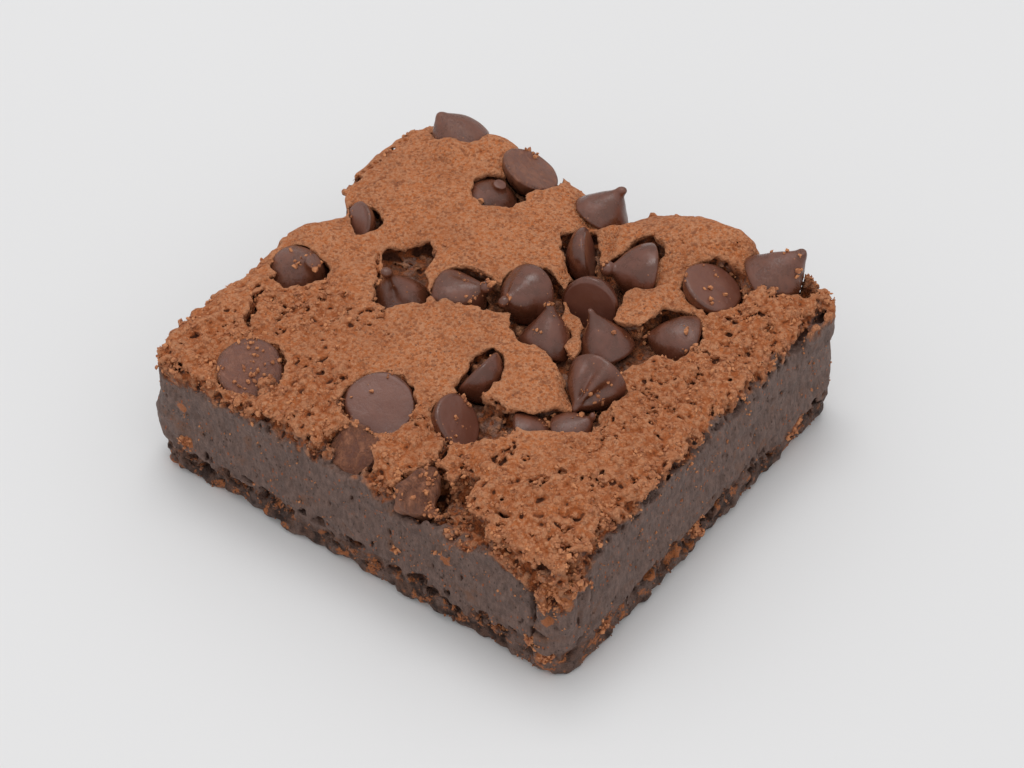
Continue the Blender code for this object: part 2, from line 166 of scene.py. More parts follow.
def outline_distance(x: np.ndarray, y: np.ndarray, outline: Sequence[Point]) -> np.ndarray:
    """Measures how far points lie inside a closed outline.

    Args:
        x: The points' first coordinates.
        y: Their second coordinates.
        outline: The corners of the outline, in order.

    Returns:
        The distance to the outline, below 0 outside it.
    """
    closed = [*outline, outline[0]]
    inside = np.zeros(x.shape, bool)
    for (x0, y0), (x1, y1) in zip(closed, closed[1:]):
        if y0 != y1:
            inside ^= ((y0 > y) != (y1 > y)) & (x < (x1 - x0) * (y - y0) / (y1 - y0) + x0)
    away = path_distance(x, y, closed)
    return np.where(inside, away, -away)


class Grain:
    """Smooth random relief that is the same in every run."""

    def __init__(self, seed: int) -> None:
        """Draws the lattice that the relief is read from.

        Args:
            seed: What sets one relief apart from another.
        """
        random = np.random.default_rng(seed)
        self.lattice = random.random((64, 64, 64), dtype=np.float32) * 2.0 - 1.0
        self.jitter = random.random((32, 32, 32, 3), dtype=np.float32)

    def waves(self, places: np.ndarray, size: float, squash: Place = (1.0, 1.0, 1.0)) -> np.ndarray:
        """Reads rolling relief.

        Args:
            places: The points, one in each row.
            size: The size of the relief's features.
            squash: How many times narrower the features are along each axis.

        Returns:
            The relief at each point, from -1 to 1.
        """
        scaled = places * (np.array(squash, np.float32) / size)
        cell = np.floor(scaled).astype(np.int32)
        part = scaled - cell
        part = part * part * (3.0 - 2.0 * part)
        ends = [(cell[:, axis] & 63, (cell[:, axis] + 1) & 63) for axis in range(3)]
        total = 0.0
        for a in (0, 1):
            share_x = part[:, 0] if a else 1.0 - part[:, 0]
            for b in (0, 1):
                share_xy = share_x * (part[:, 1] if b else 1.0 - part[:, 1])
                for c in (0, 1):
                    share = share_xy * (part[:, 2] if c else 1.0 - part[:, 2])
                    total = total + share * self.lattice[ends[0][a], ends[1][b], ends[2][c]]
        return total

    def granules(self, places: np.ndarray, size: float) -> np.ndarray:
        """Reads relief of packed granules.

        Args:
            places: The points, one in each row.
            size: The usual size of a granule.

        Returns:
            The relief at each point, 0.5 on the top of a granule and below 0 in the creases.
        """
        scaled = (places / size).astype(np.float32)
        cell = np.floor(scaled).astype(np.int32)
        nearest = np.full(len(places), 9.0, np.float32)
        for shift in np.ndindex(3, 3, 3):
            near = cell + (np.array(shift, np.int32) - 1)
            seat = self.jitter[near[:, 0] & 31, near[:, 1] & 31, near[:, 2] & 31]
            away = near + seat - scaled
            nearest = np.minimum(nearest, (away * away).sum(1))
        return 0.5 - np.sqrt(nearest)


@dataclass
class Block:
    """A block of space in small cells that holds how deep each point lies in the crumb."""

    low: Place = (-2.9, -2.6, -0.6)
    high: Place = (80.9, 73.6, 29.4)
    cell: float = 0.3
    axes: list[np.ndarray] = field(init=False)
    depth: np.ndarray = field(init=False)

    def __post_init__(self) -> None:
        """Lays out the cells."""
        self.axes = []
        for low, high in zip(self.low, self.high):
            count = int(math.ceil((high - low) / self.cell)) + 1
            self.axes.append((low + self.cell * np.arange(count)).astype(np.float32))
        self.depth = np.zeros([len(axis) for axis in self.axes], np.float32)

    def window(self, low: Sequence[float], high: Sequence[float]) -> tuple[slice, ...]:
        """Finds the cells between two corners.

        Args:
            low: The lowest corner.
            high: The highest corner.

        Returns:
            A slice of cells for each axis.
        """
        cuts = []
        for start, end, base, axis in zip(low, high, self.low, self.axes):
            first = max(0, int((start - base) / self.cell))
            last = min(len(axis), int((end - base) / self.cell) + 2)
            cuts.append(slice(first, max(first, last)))
        return tuple(cuts)

    def open_grid(self, cuts: tuple[slice, ...]) -> tuple[np.ndarray, ...]:
        """Returns the coordinates of a window's cells, ready to be combined."""
        return np.ix_(*[axis[cut] for axis, cut in zip(self.axes, cuts)])

    def cells_in(self, cuts: tuple[slice, ...]) -> tuple[tuple[np.ndarray, ...], np.ndarray, Shape]:
        """Lists a window's cells.

        Args:
            cuts: The window.

        Returns:
            The coordinates ready to be combined, the same with a row for each cell, and the window's shape.
        """
        grid = self.open_grid(cuts)
        shape = np.broadcast_shapes(*[axis.shape for axis in grid])
        return grid, np.stack([np.broadcast_to(axis, shape).ravel() for axis in grid], axis=1), shape

    def stamp(self, centres: np.ndarray, radii: np.ndarray, hollow: bool) -> None:
        """Adds lumps to the crumb, or takes hollows out of it.

        Args:
            centres: The middle of each lump, one in each row.
            radii: Its three half widths.
            hollow: Whether the lumps are taken out.
        """
        for centre, radius in zip(centres, radii):
            cuts = self.window(centre - radius - self.cell, centre + radius + self.cell)
            x, y, z = self.open_grid(cuts)
            away = np.sqrt(
                ((x - centre[0]) / radius[0]) ** 2
                + ((y - centre[1]) / radius[1]) ** 2
                + ((z - centre[2]) / radius[2]) ** 2
            )
            lump = (1.0 - away) * radius.min()
            part = self.depth[cuts]
            if hollow:
                np.minimum(part, -lump, out=part)
            else:
                np.maximum(part, lump, out=part)

    def stamp_rows(self, rows: Sequence[Sequence[float]], hollow: bool) -> None:
        """Adds or takes out lumps that are given as rows of a place and three half widths."""
        table = np.array(rows)
        self.stamp(table[:, :3], table[:, 3:], hollow)

    def surface(self) -> tuple[np.ndarray, np.ndarray]:
        """Draws the skin of the crumb.

        Returns:
            The points of the skin, and its four-sided faces as rows of point numbers.
        """
        full = self.depth > 0.0
        spans = [count - 1 for count in full.shape]
        corners = np.zeros(spans, np.uint8)
        for shift in np.ndindex(2, 2, 2):
            corners += full[tuple(slice(start, start + span) for start, span in zip(shift, spans))]
        mixed = (corners > 0) & (corners < 8)
        cells = np.argwhere(mixed)
        number = np.full(mixed.shape, -1, np.int32)
        number[mixed] = np.arange(len(cells), dtype=np.int32)
        total = np.zeros((len(cells), 3), np.float32)
        hits = np.zeros(len(cells), np.float32)
        unit = np.eye(3, dtype=int)
        for axis in range(3):
            others = [other for other in range(3) if other != axis]
            for shift in np.ndindex(2, 2):
                start = cells.copy()
                start[:, others] += shift
                here = self.depth[tuple(start.T)]
                there = self.depth[tuple((start + unit[axis]).T)]
                cross = (here > 0.0) != (there > 0.0)
                spot = start[cross].astype(np.float32)
                spot[:, axis] += here[cross] / (here[cross] - there[cross])
                total[cross] += spot
                hits[cross] += 1.0
        points = total / hits[:, None] * self.cell + np.array(self.low, np.float32)
        faces = []
        for axis in range(3):
            lower = [slice(1, -1)] * 3
            upper = [slice(1, -1)] * 3
            lower[axis] = slice(0, -1)
            upper[axis] = slice(1, None)
            first = full[tuple(lower)]
            second = full[tuple(upper)]
            spots = np.argwhere(first != second)
            outward = first[tuple(spots.T)]
            spots = spots + 1 - unit[axis]
            back, side = unit[(axis + 1) % 3], unit[(axis + 2) % 3]
            ring = [spots, spots - back, spots - back - side, spots - side]
            quads = np.stack([number[tuple(spot.T)] for spot in ring], axis=1)
            quads[~outward] = quads[~outward][:, ::-1]
            faces.append(quads)
        return points, np.concatenate(faces)

    def read(self, values: np.ndarray, places: np.ndarray) -> np.ndarray:
        """Reads a field between the cells.

        Args:
            values: A field over the cells, or over the plan alone.
            places: The points, one in each row.

        Returns:
            The field at each point.
        """
        scaled = (places - np.array(self.low, np.float32)) / self.cell
        flat = values.ndim == 2
        axes = 2 if flat else 3
        cell = np.floor(scaled[:, :axes]).astype(np.int32)
        cell = np.clip(cell, 0, np.array(values.shape) - 2)
        part = np.clip(scaled[:, :axes] - cell, 0.0, 1.0)
        total = 0.0
        for corner in range(2 ** axes):
            share = 1.0
            spot = []
            for axis in range(axes):
                up = corner >> axis & 1
                share = share * (part[:, axis] if up else 1.0 - part[:, axis])
                spot.append(cell[:, axis] + up)
            total = total + share * values[tuple(spot)]
        return total

    def fullness(self, reach: float) -> np.ndarray:
        """Measures how much crumb lies round each cell.

        Args:
            reach: How far round is looked at.

        Returns:
            The share that is crumb, 0.5 on a flat skin, more in a hollow and less on a peak.
        """
        share = np.clip(self.depth / self.cell * 0.5 + 0.5, 0.0, 1.0).astype(np.float32)
        half = max(1, round(reach / self.cell))
        for axis in range(3):
            share = np.moveaxis(share, axis, 0)
            ends = np.repeat(share[:1], half + 1, 0), np.repeat(share[-1:], half, 0)
            sums = np.cumsum(np.concatenate([ends[0], share, ends[1]]), axis=0, dtype=np.float32)
            share = (sums[2 * half + 1:] - sums[:-2 * half - 1]) / (2 * half + 1)
            share = np.moveaxis(share, 0, axis)
        return share


def new_object(name: str, data: bpy.types.ID) -> bpy.types.Object:
    """Makes an object of its data and links it to the scene.

    Args:
        name: The object's name.
        data: Its mesh, lamp or camera.

    Returns:
        The object.
    """
    made = bpy.data.objects.new(name, data)
    bpy.context.scene.collection.objects.link(made)
    return made


def read_rows(source: Sequence, attribute: str, width: int = 1, kind: type = np.float32) -> np.ndarray:
    """Reads an attribute of all the points, edges, corners or faces of a mesh.

    Args:
        source: What has the attribute.
        attribute: Blender's name for it.
        width: How many numbers each value has.
        kind: The type of the numbers.

    Returns:
        The values, in rows where each has more than one number.
    """
    values = np.empty(len(source) * width, kind)
    source.foreach_get(attribute, values)
    return values.reshape(-1, width) if width > 1 else values


def make_mesh(name: str, points: np.ndarray, faces: np.ndarray) -> bpy.types.Object:
    """Makes a smooth mesh object from points in millimetres from the corner of the cut.

    Args:
        name: The object's name.
        points: The points, one in each row.
        faces: The faces, rows of three or four point numbers.

    Returns:
        The object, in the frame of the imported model.
    """
    sides = faces.shape[1]
    mesh = bpy.data.meshes.new(name)
    mesh.vertices.add(len(points))
    mesh.vertices.foreach_set("co", ((points + CUT_CORNER) * MM).astype(np.float32).ravel())
    mesh.loops.add(faces.size)
    mesh.loops.foreach_set("vertex_index", faces.astype(np.int32).ravel())
    mesh.polygons.add(len(faces))
    mesh.polygons.foreach_set("loop_start", np.arange(0, faces.size, sides, dtype=np.int32))
    mesh.polygons.foreach_set("use_smooth", np.ones(len(faces), bool))
    mesh.update(calc_edges=True)
    mesh.validate()
    return new_object(name, mesh)


def mesh_places(mesh: bpy.types.Mesh) -> np.ndarray:
    """Returns a mesh's points in millimetres from the corner of the cut."""
    return (read_rows(mesh.vertices, "co", 3) / MM - CUT_CORNER).astype(np.float32)


def add_mask(mesh: bpy.types.Mesh, name: str, values: np.ndarray) -> None:
    """Stores a share from 0 to 1 for each point of a mesh."""
    mask = mesh.attributes.new(name, "FLOAT", "POINT")
    mask.data.foreach_set("value", np.clip(values, 0, 1).astype(np.float32))


def mask_values(mesh: bpy.types.Mesh, name: str) -> np.ndarray:
    """Returns a mask that is stored on a mesh."""
    return read_rows(mesh.attributes[name].data, "value")


def part_of_mesh(mesh: bpy.types.Mesh, name: str, kept: np.ndarray) -> bpy.types.Mesh:
    """Copies some of a mesh's faces to a mesh of their own.

    Args:
        mesh: The whole mesh.
        name: The part's name.
        kept: Which of its faces the part has.

    Returns:
        The part.
    """
    cut = bmesh.new()
    cut.from_mesh(mesh)
    cut.faces.ensure_lookup_table()
    dropped = [cut.faces[number] for number in np.flatnonzero(~kept).tolist()]
    bmesh.ops.delete(cut, geom=dropped, context="FACES")
    part = bpy.data.meshes.new(name)
    cut.to_mesh(part)
    cut.free()
    return part


def joined_faces(mesh: bpy.types.Mesh) -> np.ndarray:
    """Tells which faces belong to the largest joined part of a mesh.

    Args:
        mesh: The mesh.

    Returns:
        Whether each face belongs to it.
    """
    first, second = read_rows(mesh.edges, "vertices", 2, np.int32).T
    label = np.arange(len(mesh.vertices))
    while True:
        lower = np.minimum(label[first], label[second])
        after = label.copy()
        np.minimum.at(after, first, lower)
        np.minimum.at(after, second, lower)
        after = after[after]
        if np.array_equal(after, label):
            break
        label = after
    starts = read_rows(mesh.polygons, "loop_start", kind=np.int32)
    corners = read_rows(mesh.loops, "vertex_index", kind=np.int32)
    owner = label[corners[starts]]
    return owner == np.bincount(owner).argmax()


@dataclass
class NodeBench:
    """The nodes of one material, with short ways to add and join them."""

    name: str
    material: bpy.types.Material = field(init=False)
    shader: bpy.types.Node = field(init=False)
    coordinates: Socket = field(init=False)

    def __post_init__(self) -> None:
        """Makes the material with its shader and its coordinates."""
        self.material = bpy.data.materials.new(self.name)
        self.material.use_nodes = True
        self.shader = self.material.node_tree.nodes["Principled BSDF"]
        self.coordinates = self.add("ShaderNodeTexCoord").outputs["Object"]

    def add(self, kind: str, **settings: object) -> bpy.types.Node:
        """Adds a node.

        Args:
            kind: Blender's name for the node.
            **settings: Its options.

        Returns:
            The node.
        """
        node = self.material.node_tree.nodes.new(kind)
        for option, value in settings.items():
            setattr(node, option, value)
        return node

    def feed(self, socket: Socket, value: object) -> None:
        """Joins a socket to another node's socket, or sets its value.

        Args:
            socket: The socket.
            value: The other node's socket, or a number or a colour.
        """
        if isinstance(value, Socket):
            self.material.node_tree.links.new(value, socket)
        elif isinstance(value, tuple) and socket.type == "RGBA":
            socket.default_value = (*value, 1.0)
        else:
            socket.default_value = value

    def texture(self, kind: str, size: float, squash: Optional[Place]) -> bpy.types.Node:
        """Adds a texture.

        Args:
            kind: Blender's name for its node.
            size: The size of its features in millimetres.
            squash: How many times narrower the features are along each axis.

        Returns:
            The texture's node.
        """
        places = self.coordinates
        if squash:
            narrowed = self.add("ShaderNodeVectorMath", operation="MULTIPLY")
            self.feed(narrowed.inputs[0], places)
            narrowed.inputs[1].default_value = squash
            places = narrowed.outputs[0]
        node = self.add(kind)
        self.feed(node.inputs["Vector"], places)
        node.inputs["Scale"].default_value = 1.0 / (size * MM)
        return node

    def waves(self, size: float, detail: float = 2.0, rough: float = 0.5,
              squash: Optional[Place] = None) -> Socket:
        """Adds rolling noise.

        Args:
            size: The size of its features in millimetres.
            detail: How many finer layers it has.
            rough: How strong the finer layers are.
            squash: How many times narrower the features are along each axis.

        Returns:
            The noise, around 0.5.
        """
        node = self.texture("ShaderNodeTexNoise", size, squash)
        node.inputs["Detail"].default_value = detail
        node.inputs["Roughness"].default_value = rough
        return node.outputs["Fac"]

    def grains(self, size: float, squash: Optional[Place] = None) -> tuple[Socket, Socket]:
        """Adds packed grains.

        Args:
            size: The size of a grain in millimetres.
            squash: How many times narrower the grains are along each axis.

        Returns:
            Each grain's own share, and how far away its middle is.
        """
        cells = self.texture("ShaderNodeTexVoronoi", size, squash)
        parts = self.add("ShaderNodeSeparateColor")
        self.feed(parts.inputs[0], cells.outputs["Color"])
        return parts.outputs[0], cells.outputs["Distance"]

    def specks(self, size: float, share: float, fill: float, strength: float,
               squash: Optional[Place] = None) -> Socket:
        """Adds scattered specks.

        Args:
            size: The spacing of the places that may hold a speck, in millimetres.
            share: The share of the places that do.
            fill: The half width of a speck against the spacing.
            strength: The result in a speck.
            squash: How many times narrower the specks are along each axis.

        Returns:
            The strength in a speck and 0 beside it.
        """
        own, away = self.grains(size, squash)
        chosen = self.math("LESS_THAN", own, share)
        return self.times(self.times(chosen, self.step(away, fill, fill * 0.55)), strength)

    def mask(self, name: str) -> Socket:
        """Returns a mask that is stored on the mesh."""
        return self.add("ShaderNodeAttribute", attribute_name=name).outputs["Fac"]

    def step(self, value: Socket, low: float, high: float, start: float = 0.0, end: float = 1.0) -> Socket:
        """Adds a smooth step.

        Args:
            value: What is stepped.
            low: Where the step starts.
            high: Where it ends.
            start: The result before the step.
            end: The result after it.

        Returns:
            The stepped value.
        """
        node = self.add("ShaderNodeMapRange", interpolation_type="SMOOTHSTEP")
        self.feed(node.inputs["Value"], value)
        ends = (high, low, end, start) if low > high else (low, high, start, end)
        for name, number in zip(("From Min", "From Max", "To Min", "To Max"), ends):
            node.inputs[name].default_value = number
        return node.outputs["Result"]

    def math(self, operation: str, first: object, second: object) -> Socket:
        """Adds arithmetic on two values.

        Args:
            operation: Blender's name for it.
            first: The first value, or the socket that gives it.
            second: The second one.

        Returns:
            The result.
        """
        node = self.add("ShaderNodeMath", operation=operation)
        self.feed(node.inputs[0], first)
        self.feed(node.inputs[1], second)
        return node.outputs[0]

    def times(self, first: object, second: object) -> Socket:
        """Multiplies two values."""
        return self.math("MULTIPLY", first, second)

    def mix(self, share: object, first: object, second: object) -> Socket:
        """Mixes two colours.

        Args:
            share: How much of the second colour there is.
            first: The first colour, or the socket that gives it.
            second: The second one.

        Returns:
            The mixed colour.
        """
        node = self.add("ShaderNodeMix", data_type="RGBA")
        self.feed(node.inputs[0], share)
        self.feed(node.inputs[6], first)
        self.feed(node.inputs[7], second)
        return node.outputs[2]

    def tint(self, colour: object, layers: Iterable[tuple[Socket, float, float, float, object]]) -> Socket:
        """Lays tones over a colour where patterns are strong.

        Args:
            colour: The colour below.
            layers: For each tone its pattern, where the tone starts and is whole, its greatest share
                and the tone.

        Returns:
            The colour with its tones.
        """
        for pattern, low, high, most, tone in layers:
            colour = self.mix(self.step(pattern, low, high, 0.0, most), colour, tone)
        return colour

    def finish(self, colour: Socket, roughness: object, specular: float) -> None:
        """Gives the shader its colour, roughness and shine.

        Args:
            colour: The colour.
            roughness: The roughness, or the socket that gives it.
            specular: How strong its shine is.
        """
        self.feed(self.shader.inputs["Base Color"], colour)
        self.feed(self.shader.inputs["Roughness"], roughness)
        self.shader.inputs["Specular IOR Level"].default_value = specular

    def bump(self, layers: Iterable[tuple[object, float]]) -> None:
        """Raises the shader's skin by layers of relief.

        Args:
            layers: For each layer its relief and its height in millimetres.
        """
        total = None
        for relief, height in layers:
            part = self.times(relief, height * MM)
            total = part if total is None else self.math("ADD", total, part)
        node = self.add("ShaderNodeBump")
        node.inputs["Strength"].default_value = 1.0
        node.inputs["Distance"].default_value = 1.0
        self.feed(node.inputs["Height"], total)
        self.feed(self.shader.inputs["Normal"], node.outputs["Normal"])


@dataclass(frozen=True)
class CrumbFinish:
    """The finish of the brownie's own crumb: sandy crust, smeared cut sides and a dark sticky base."""

    crust_pale: Colour = (0.56, 0.255, 0.130)
    crust_warm: Colour = (0.48, 0.138, 0.037)
    crust_brown: Colour = (0.22, 0.066, 0.026)
    crust_speck: Colour = (0.125, 0.052, 0.036)
    # orange of real crumb flecks on the cut sides, also painted as shade in creases and round hollows of the
    # crust
    crease_shade_and_fleck: Colour = (0.36, 0.092, 0.022)
    # painted shade for deep hollows
    hollow_shade: Colour = (0.050, 0.016, 0.008)
    inner_light: Colour = (0.26, 0.078, 0.026)
    inner_dark: Colour = (0.085, 0.030, 0.015)
    face_light: Colour = (0.228, 0.141, 0.113)
    face_dark: Colour = (0.100, 0.060, 0.048)
    face_warm: Colour = (0.19, 0.076, 0.034)
    band_light: Colour = (0.135, 0.068, 0.046)
    # dark of the base band, also painted as the shade in fine pits on the cut sides
    band_dark_and_pit_shade: Colour = (0.035, 0.016, 0.011)
    band_crumb: Colour = (0.40, 0.128, 0.040)

    def crust_colour(self, bench: NodeBench, grain: Socket) -> Socket:
        """Makes the colour of the baked skin: sandy, mottled pale and orange, with dark grains.

        Args:
            bench: The material's nodes.
            grain: Each grain's own share.

        Returns:
            The colour.
        """
        sandy = bench.waves(0.55, 4.0, 0.75)
        mottle = bench.waves(1.7, 5.0, 0.72)
        broad = bench.waves(7.0, 3.0, 0.6)
        colour = bench.tint(self.crust_warm, (
            (sandy, 0.40, 0.60, 1.0, self.crust_pale),
            (mottle, 0.50, 0.64, 0.70, self.crust_warm),
            (mottle, 0.47, 0.34, 0.65, self.crust_brown),
            (broad, 0.45, 0.62, 0.25, self.crust_brown),
            (grain, 0.60, 0.95, 0.55, self.crust_pale),
            (grain, 0.30, 0.04, 0.60, self.crust_brown),
        ))
        return bench.mix(bench.specks(0.55, 0.10, 0.34, 0.7), colour, self.crust_speck)

    def face_colour(self, bench: NodeBench) -> Socket:
        """Makes the colour of the cut sides: smeared grey-brown, streaked upright, flecked orange, with dark
        specks of painted shade for fine pits.

        Args:
            bench: The material's nodes.

        Returns:
            The colour.
        """
        streaks = bench.waves(0.9, 5.0, 0.75, (1.4, 1.4, 0.5))
        patches = bench.waves(5.0, 5.0, 0.66, (1.0, 1.0, 1.5))
        colour = bench.tint(self.face_dark, (
            (streaks, 0.28, 0.72, 1.0, self.face_light),
            (patches, 0.50, 0.66, 0.55, self.face_dark),
            (patches, 0.44, 0.32, 0.55, self.face_warm),
        ))
        # painted shade: dark specks standing for the shade in fine pits
        colour = bench.mix(bench.specks(0.5, 0.20, 0.36, 0.80, (1.2, 1.2, 0.6)), colour, self.band_dark_and_pit_shade)
        return bench.mix(bench.specks(0.62, 0.17, 0.34, 0.85, (1.1, 1.1, 0.7)), colour, self.crease_shade_and_fleck)

    def band_colour(self, bench: NodeBench, face: Socket) -> Socket:
        """Makes the colour of the rough base: rolled dark crumb, smears and toasted clusters.

        Args:
            bench: The material's nodes.
            face: The colour of the cut sides.

        Returns:
            The colour.
        """
        return bench.tint(self.band_dark_and_pit_shade, (
            (bench.waves(1.6, 4.0, 0.65), 0.38, 0.64, 1.0, self.band_light),
            (bench.waves(3.8), 0.46, 0.58, 0.75, face),
            (bench.waves(2.6, 4.0, 0.7), 0.55, 0.62, 0.9, self.band_crumb),
        ))

    def inner_colour(self, bench: NodeBench) -> Socket:
        """Makes the colour of torn crumb in the pockets and the split.

        Args:
            bench: The material's nodes.

        Returns:
            The colour.
        """
        return bench.tint(self.inner_dark, (
            (bench.waves(1.1, 4.0, 0.70), 0.40, 0.66, 1.0, self.inner_light),
            (bench.waves(3.4, 3.0, 0.6), 0.50, 0.60, 0.6, self.face_light),
        ))

    def material(self) -> bpy.types.Material:
        """Makes the crumb's material, which reads its zones from the masks on the mesh and paints shade into
        hollows and creases and highlight on peaks.

        Returns:
            The material.
        """
        bench = NodeBench("brownie_crumb")
        grain, grain_away = bench.grains(0.42)
        clump, clump_away = bench.grains(0.72)
        skin, cut, base = (bench.mask(name) for name in ("skin", "cut_face", "base_band"))
        # the hollow mask gives where shade is painted
        crumbly, hollow = bench.mask("crumbly"), bench.mask("hollow")
        sides = bench.math("MAXIMUM", cut, base)
        on_crust = bench.math("SUBTRACT", 1.0, sides)
        face = self.face_colour(bench)
        colour = bench.mix(skin, self.inner_colour(bench), self.crust_colour(bench, grain))
        # painted shade: the creases between clumps on crumbly crust are darkened to a deep orange
        seam_shade = bench.times(bench.step(clump_away, 0.40, 0.72, 0.0, 0.75), crumbly)
        colour = bench.mix(seam_shade, colour, self.crease_shade_and_fleck)
        tops = bench.times(bench.step(clump, 0.66, 0.90, 0.0, 0.45), crumbly)
        colour = bench.mix(tops, colour, self.crust_pale)
        colour = bench.mix(base, bench.mix(cut, colour, face), self.band_colour(bench, face))
        tufts = bench.math("ADD", bench.mask("toasted"), bench.times(bench.waves(0.9, 4.0, 0.75), 1.6))
        colour = bench.tint(colour, [(tufts, 1.20, 1.36, 0.9, self.band_crumb)])
        # painted shade round hollows on the crust, a darker orange that is partly the real orange of the
        # torn crumb
        rim_shade = bench.times(bench.step(hollow, 0.02, 0.40, 0.0, 0.85), on_crust)
        colour = bench.mix(rim_shade, colour, self.crease_shade_and_fleck)
        # painted shade: the more enclosed a point of a hollow is, the closer it is darkened to near black
        colour = bench.tint(colour, [(hollow, 0.25, 0.85, 0.90, self.hollow_shade)])
        # painted highlight: raised points of the crust are lightened towards the pale crust colour
        peak_highlight = bench.times(bench.times(bench.mask("peak"), on_crust), 0.45)
        colour = bench.mix(peak_highlight, colour, self.crust_pale)
        gloss = bench.step(bench.waves(1.8, 3.0, 0.6), 0.35, 0.65, 0.22, 0.36)
        bench.finish(colour, bench.math("SUBTRACT", 0.86, bench.times(sides, gloss)), 0.30)
        loose = bench.math("SUBTRACT", 1.0, bench.times(cut, 0.6))
        bench.bump([
            (bench.times(bench.waves(0.34, 3.0, 0.65), loose), 0.34),
            (bench.times(grain_away, loose), -0.24),
            (bench.waves(0.13, 1.0), 0.04),
            (bench.times(clump_away, crumbly), -0.34),
            (bench.times(cut, bench.waves(0.5, 4.0, 0.8, (1.3, 1.3, 0.6))), 0.30),
        ])
        return bench.material


@dataclass(frozen=True)
class ChocolateFinish:
    """The finish of a baking chip: satin dark chocolate, duller on the flat base."""

    side: Colour = (0.094, 0.027, 0.013)
    side_pale: Colour = (0.138, 0.043, 0.024)
    base: Colour = (0.155, 0.053, 0.033)
    dust: Colour = (0.40, 0.155, 0.07)
    crumb_smear: Colour = (0.33, 0.125, 0.060)

    def material(self) -> bpy.types.Material:
        """Makes the chocolate's material.

        Returns:
            The material.
        """
        bench = NodeBench("chip_chocolate")
        cloud = bench.waves(2.6, 3.0, 0.6)
        flat = bench.mask("flat_base")
        specks = bench.specks(0.5, 0.035, 0.3, 0.8)
        dragged = bench.step(bench.waves(1.6, 6.0, 0.8, (1.3, 1.3, 0.5)), 0.32, 0.66)
        smeared = bench.times(dragged, bench.mask("smear"))
        colour = bench.mix(bench.step(cloud, 0.38, 0.66), self.side, self.side_pale)
        for share, tone in ((bench.times(flat, 0.85), self.base), (specks, self.dust),
                            (smeared, self.crumb_smear)):
            colour = bench.mix(share, colour, tone)
        dull = bench.math("ADD", bench.times(flat, 0.08), bench.times(smeared, 0.3))
        rough = bench.math("ADD", bench.step(cloud, 0.35, 0.7, 0.22, 0.34), dull)
        bench.finish(colour, rough, 0.62)
        bench.bump([
            (bench.waves(1.7), 0.10),
            (bench.waves(0.28, 2.0, 0.6), 0.012),
            (specks, 0.05),
            (smeared, 0.22),
        ])
        return bench.material


@dataclass(frozen=True)
class LooseCrumbFinish:
    """The finish of crumbs that have come off the crust."""

    name: str
    light: Colour
    dark: Colour

    def material(self) -> bpy.types.Material:
        """Makes the crumbs' material.

        Returns:
            The material.
        """
        bench = NodeBench(self.name)
        colour = bench.mix(bench.step(bench.waves(0.9, 3.0, 0.6), 0.36, 0.64), self.dark, self.light)
        bench.finish(colour, bench.step(bench.waves(0.5), 0.3, 0.7, 0.72, 0.9), 0.5)
        bench.bump([(bench.waves(0.22, 2.0, 0.6), 0.07)])
        return bench.material


@dataclass(frozen=True)
class FloorFinish:
    """The finish of the pale floor."""

    colour: Colour = (0.775, 0.775, 0.78)
    shade: Colour = (0.76, 0.76, 0.765)

    def material(self) -> bpy.types.Material:
        """Makes the floor's material.

        Returns:
            The material.
        """
        bench = NodeBench("pale_floor")
        bench.finish(bench.mix(bench.step(bench.waves(300.0), 0.3, 0.7), self.shade, self.colour), 0.55, 0.3)
        return bench.material


@dataclass(frozen=True)
class Swell:
    """A smooth rise or fall of the crust."""

    x: float
    y: float
    along: float
    across: float
    turn: float
    rise: float

    def height(self, x: np.ndarray, y: np.ndarray) -> np.ndarray:
        """Measures the rise at points of the plan.

        Args:
            x: The points' places along X.
            y: Their places along Y.

        Returns:
            The rise at each point.
        """
        turn = math.radians(self.turn)
        dx, dy = x - self.x, y - self.y
        along = (dx * math.cos(turn) + dy * math.sin(turn)) / self.along
        across = (dy * math.cos(turn) - dx * math.sin(turn)) / self.across
        return self.rise * np.exp(-along * along - across * across)


@dataclass(frozen=True)
class Dent:
    """A dent in a side, or a bulge where its depth is below 0."""

    side: Side
    place: float
    height: float
    along: float
    up: float
    depth: float


@dataclass(frozen=True)
class Opening:
    """An opening broken through the crust: the height of its floor and its outline in plan."""

    floor: float
    outline: tuple[Point, ...]


@dataclass(frozen=True)
class Crack:
    """A crack in the crust: the points it runs through, its width at the top and its depth."""

    path: tuple[Point, ...]
    width: float
    depth: float


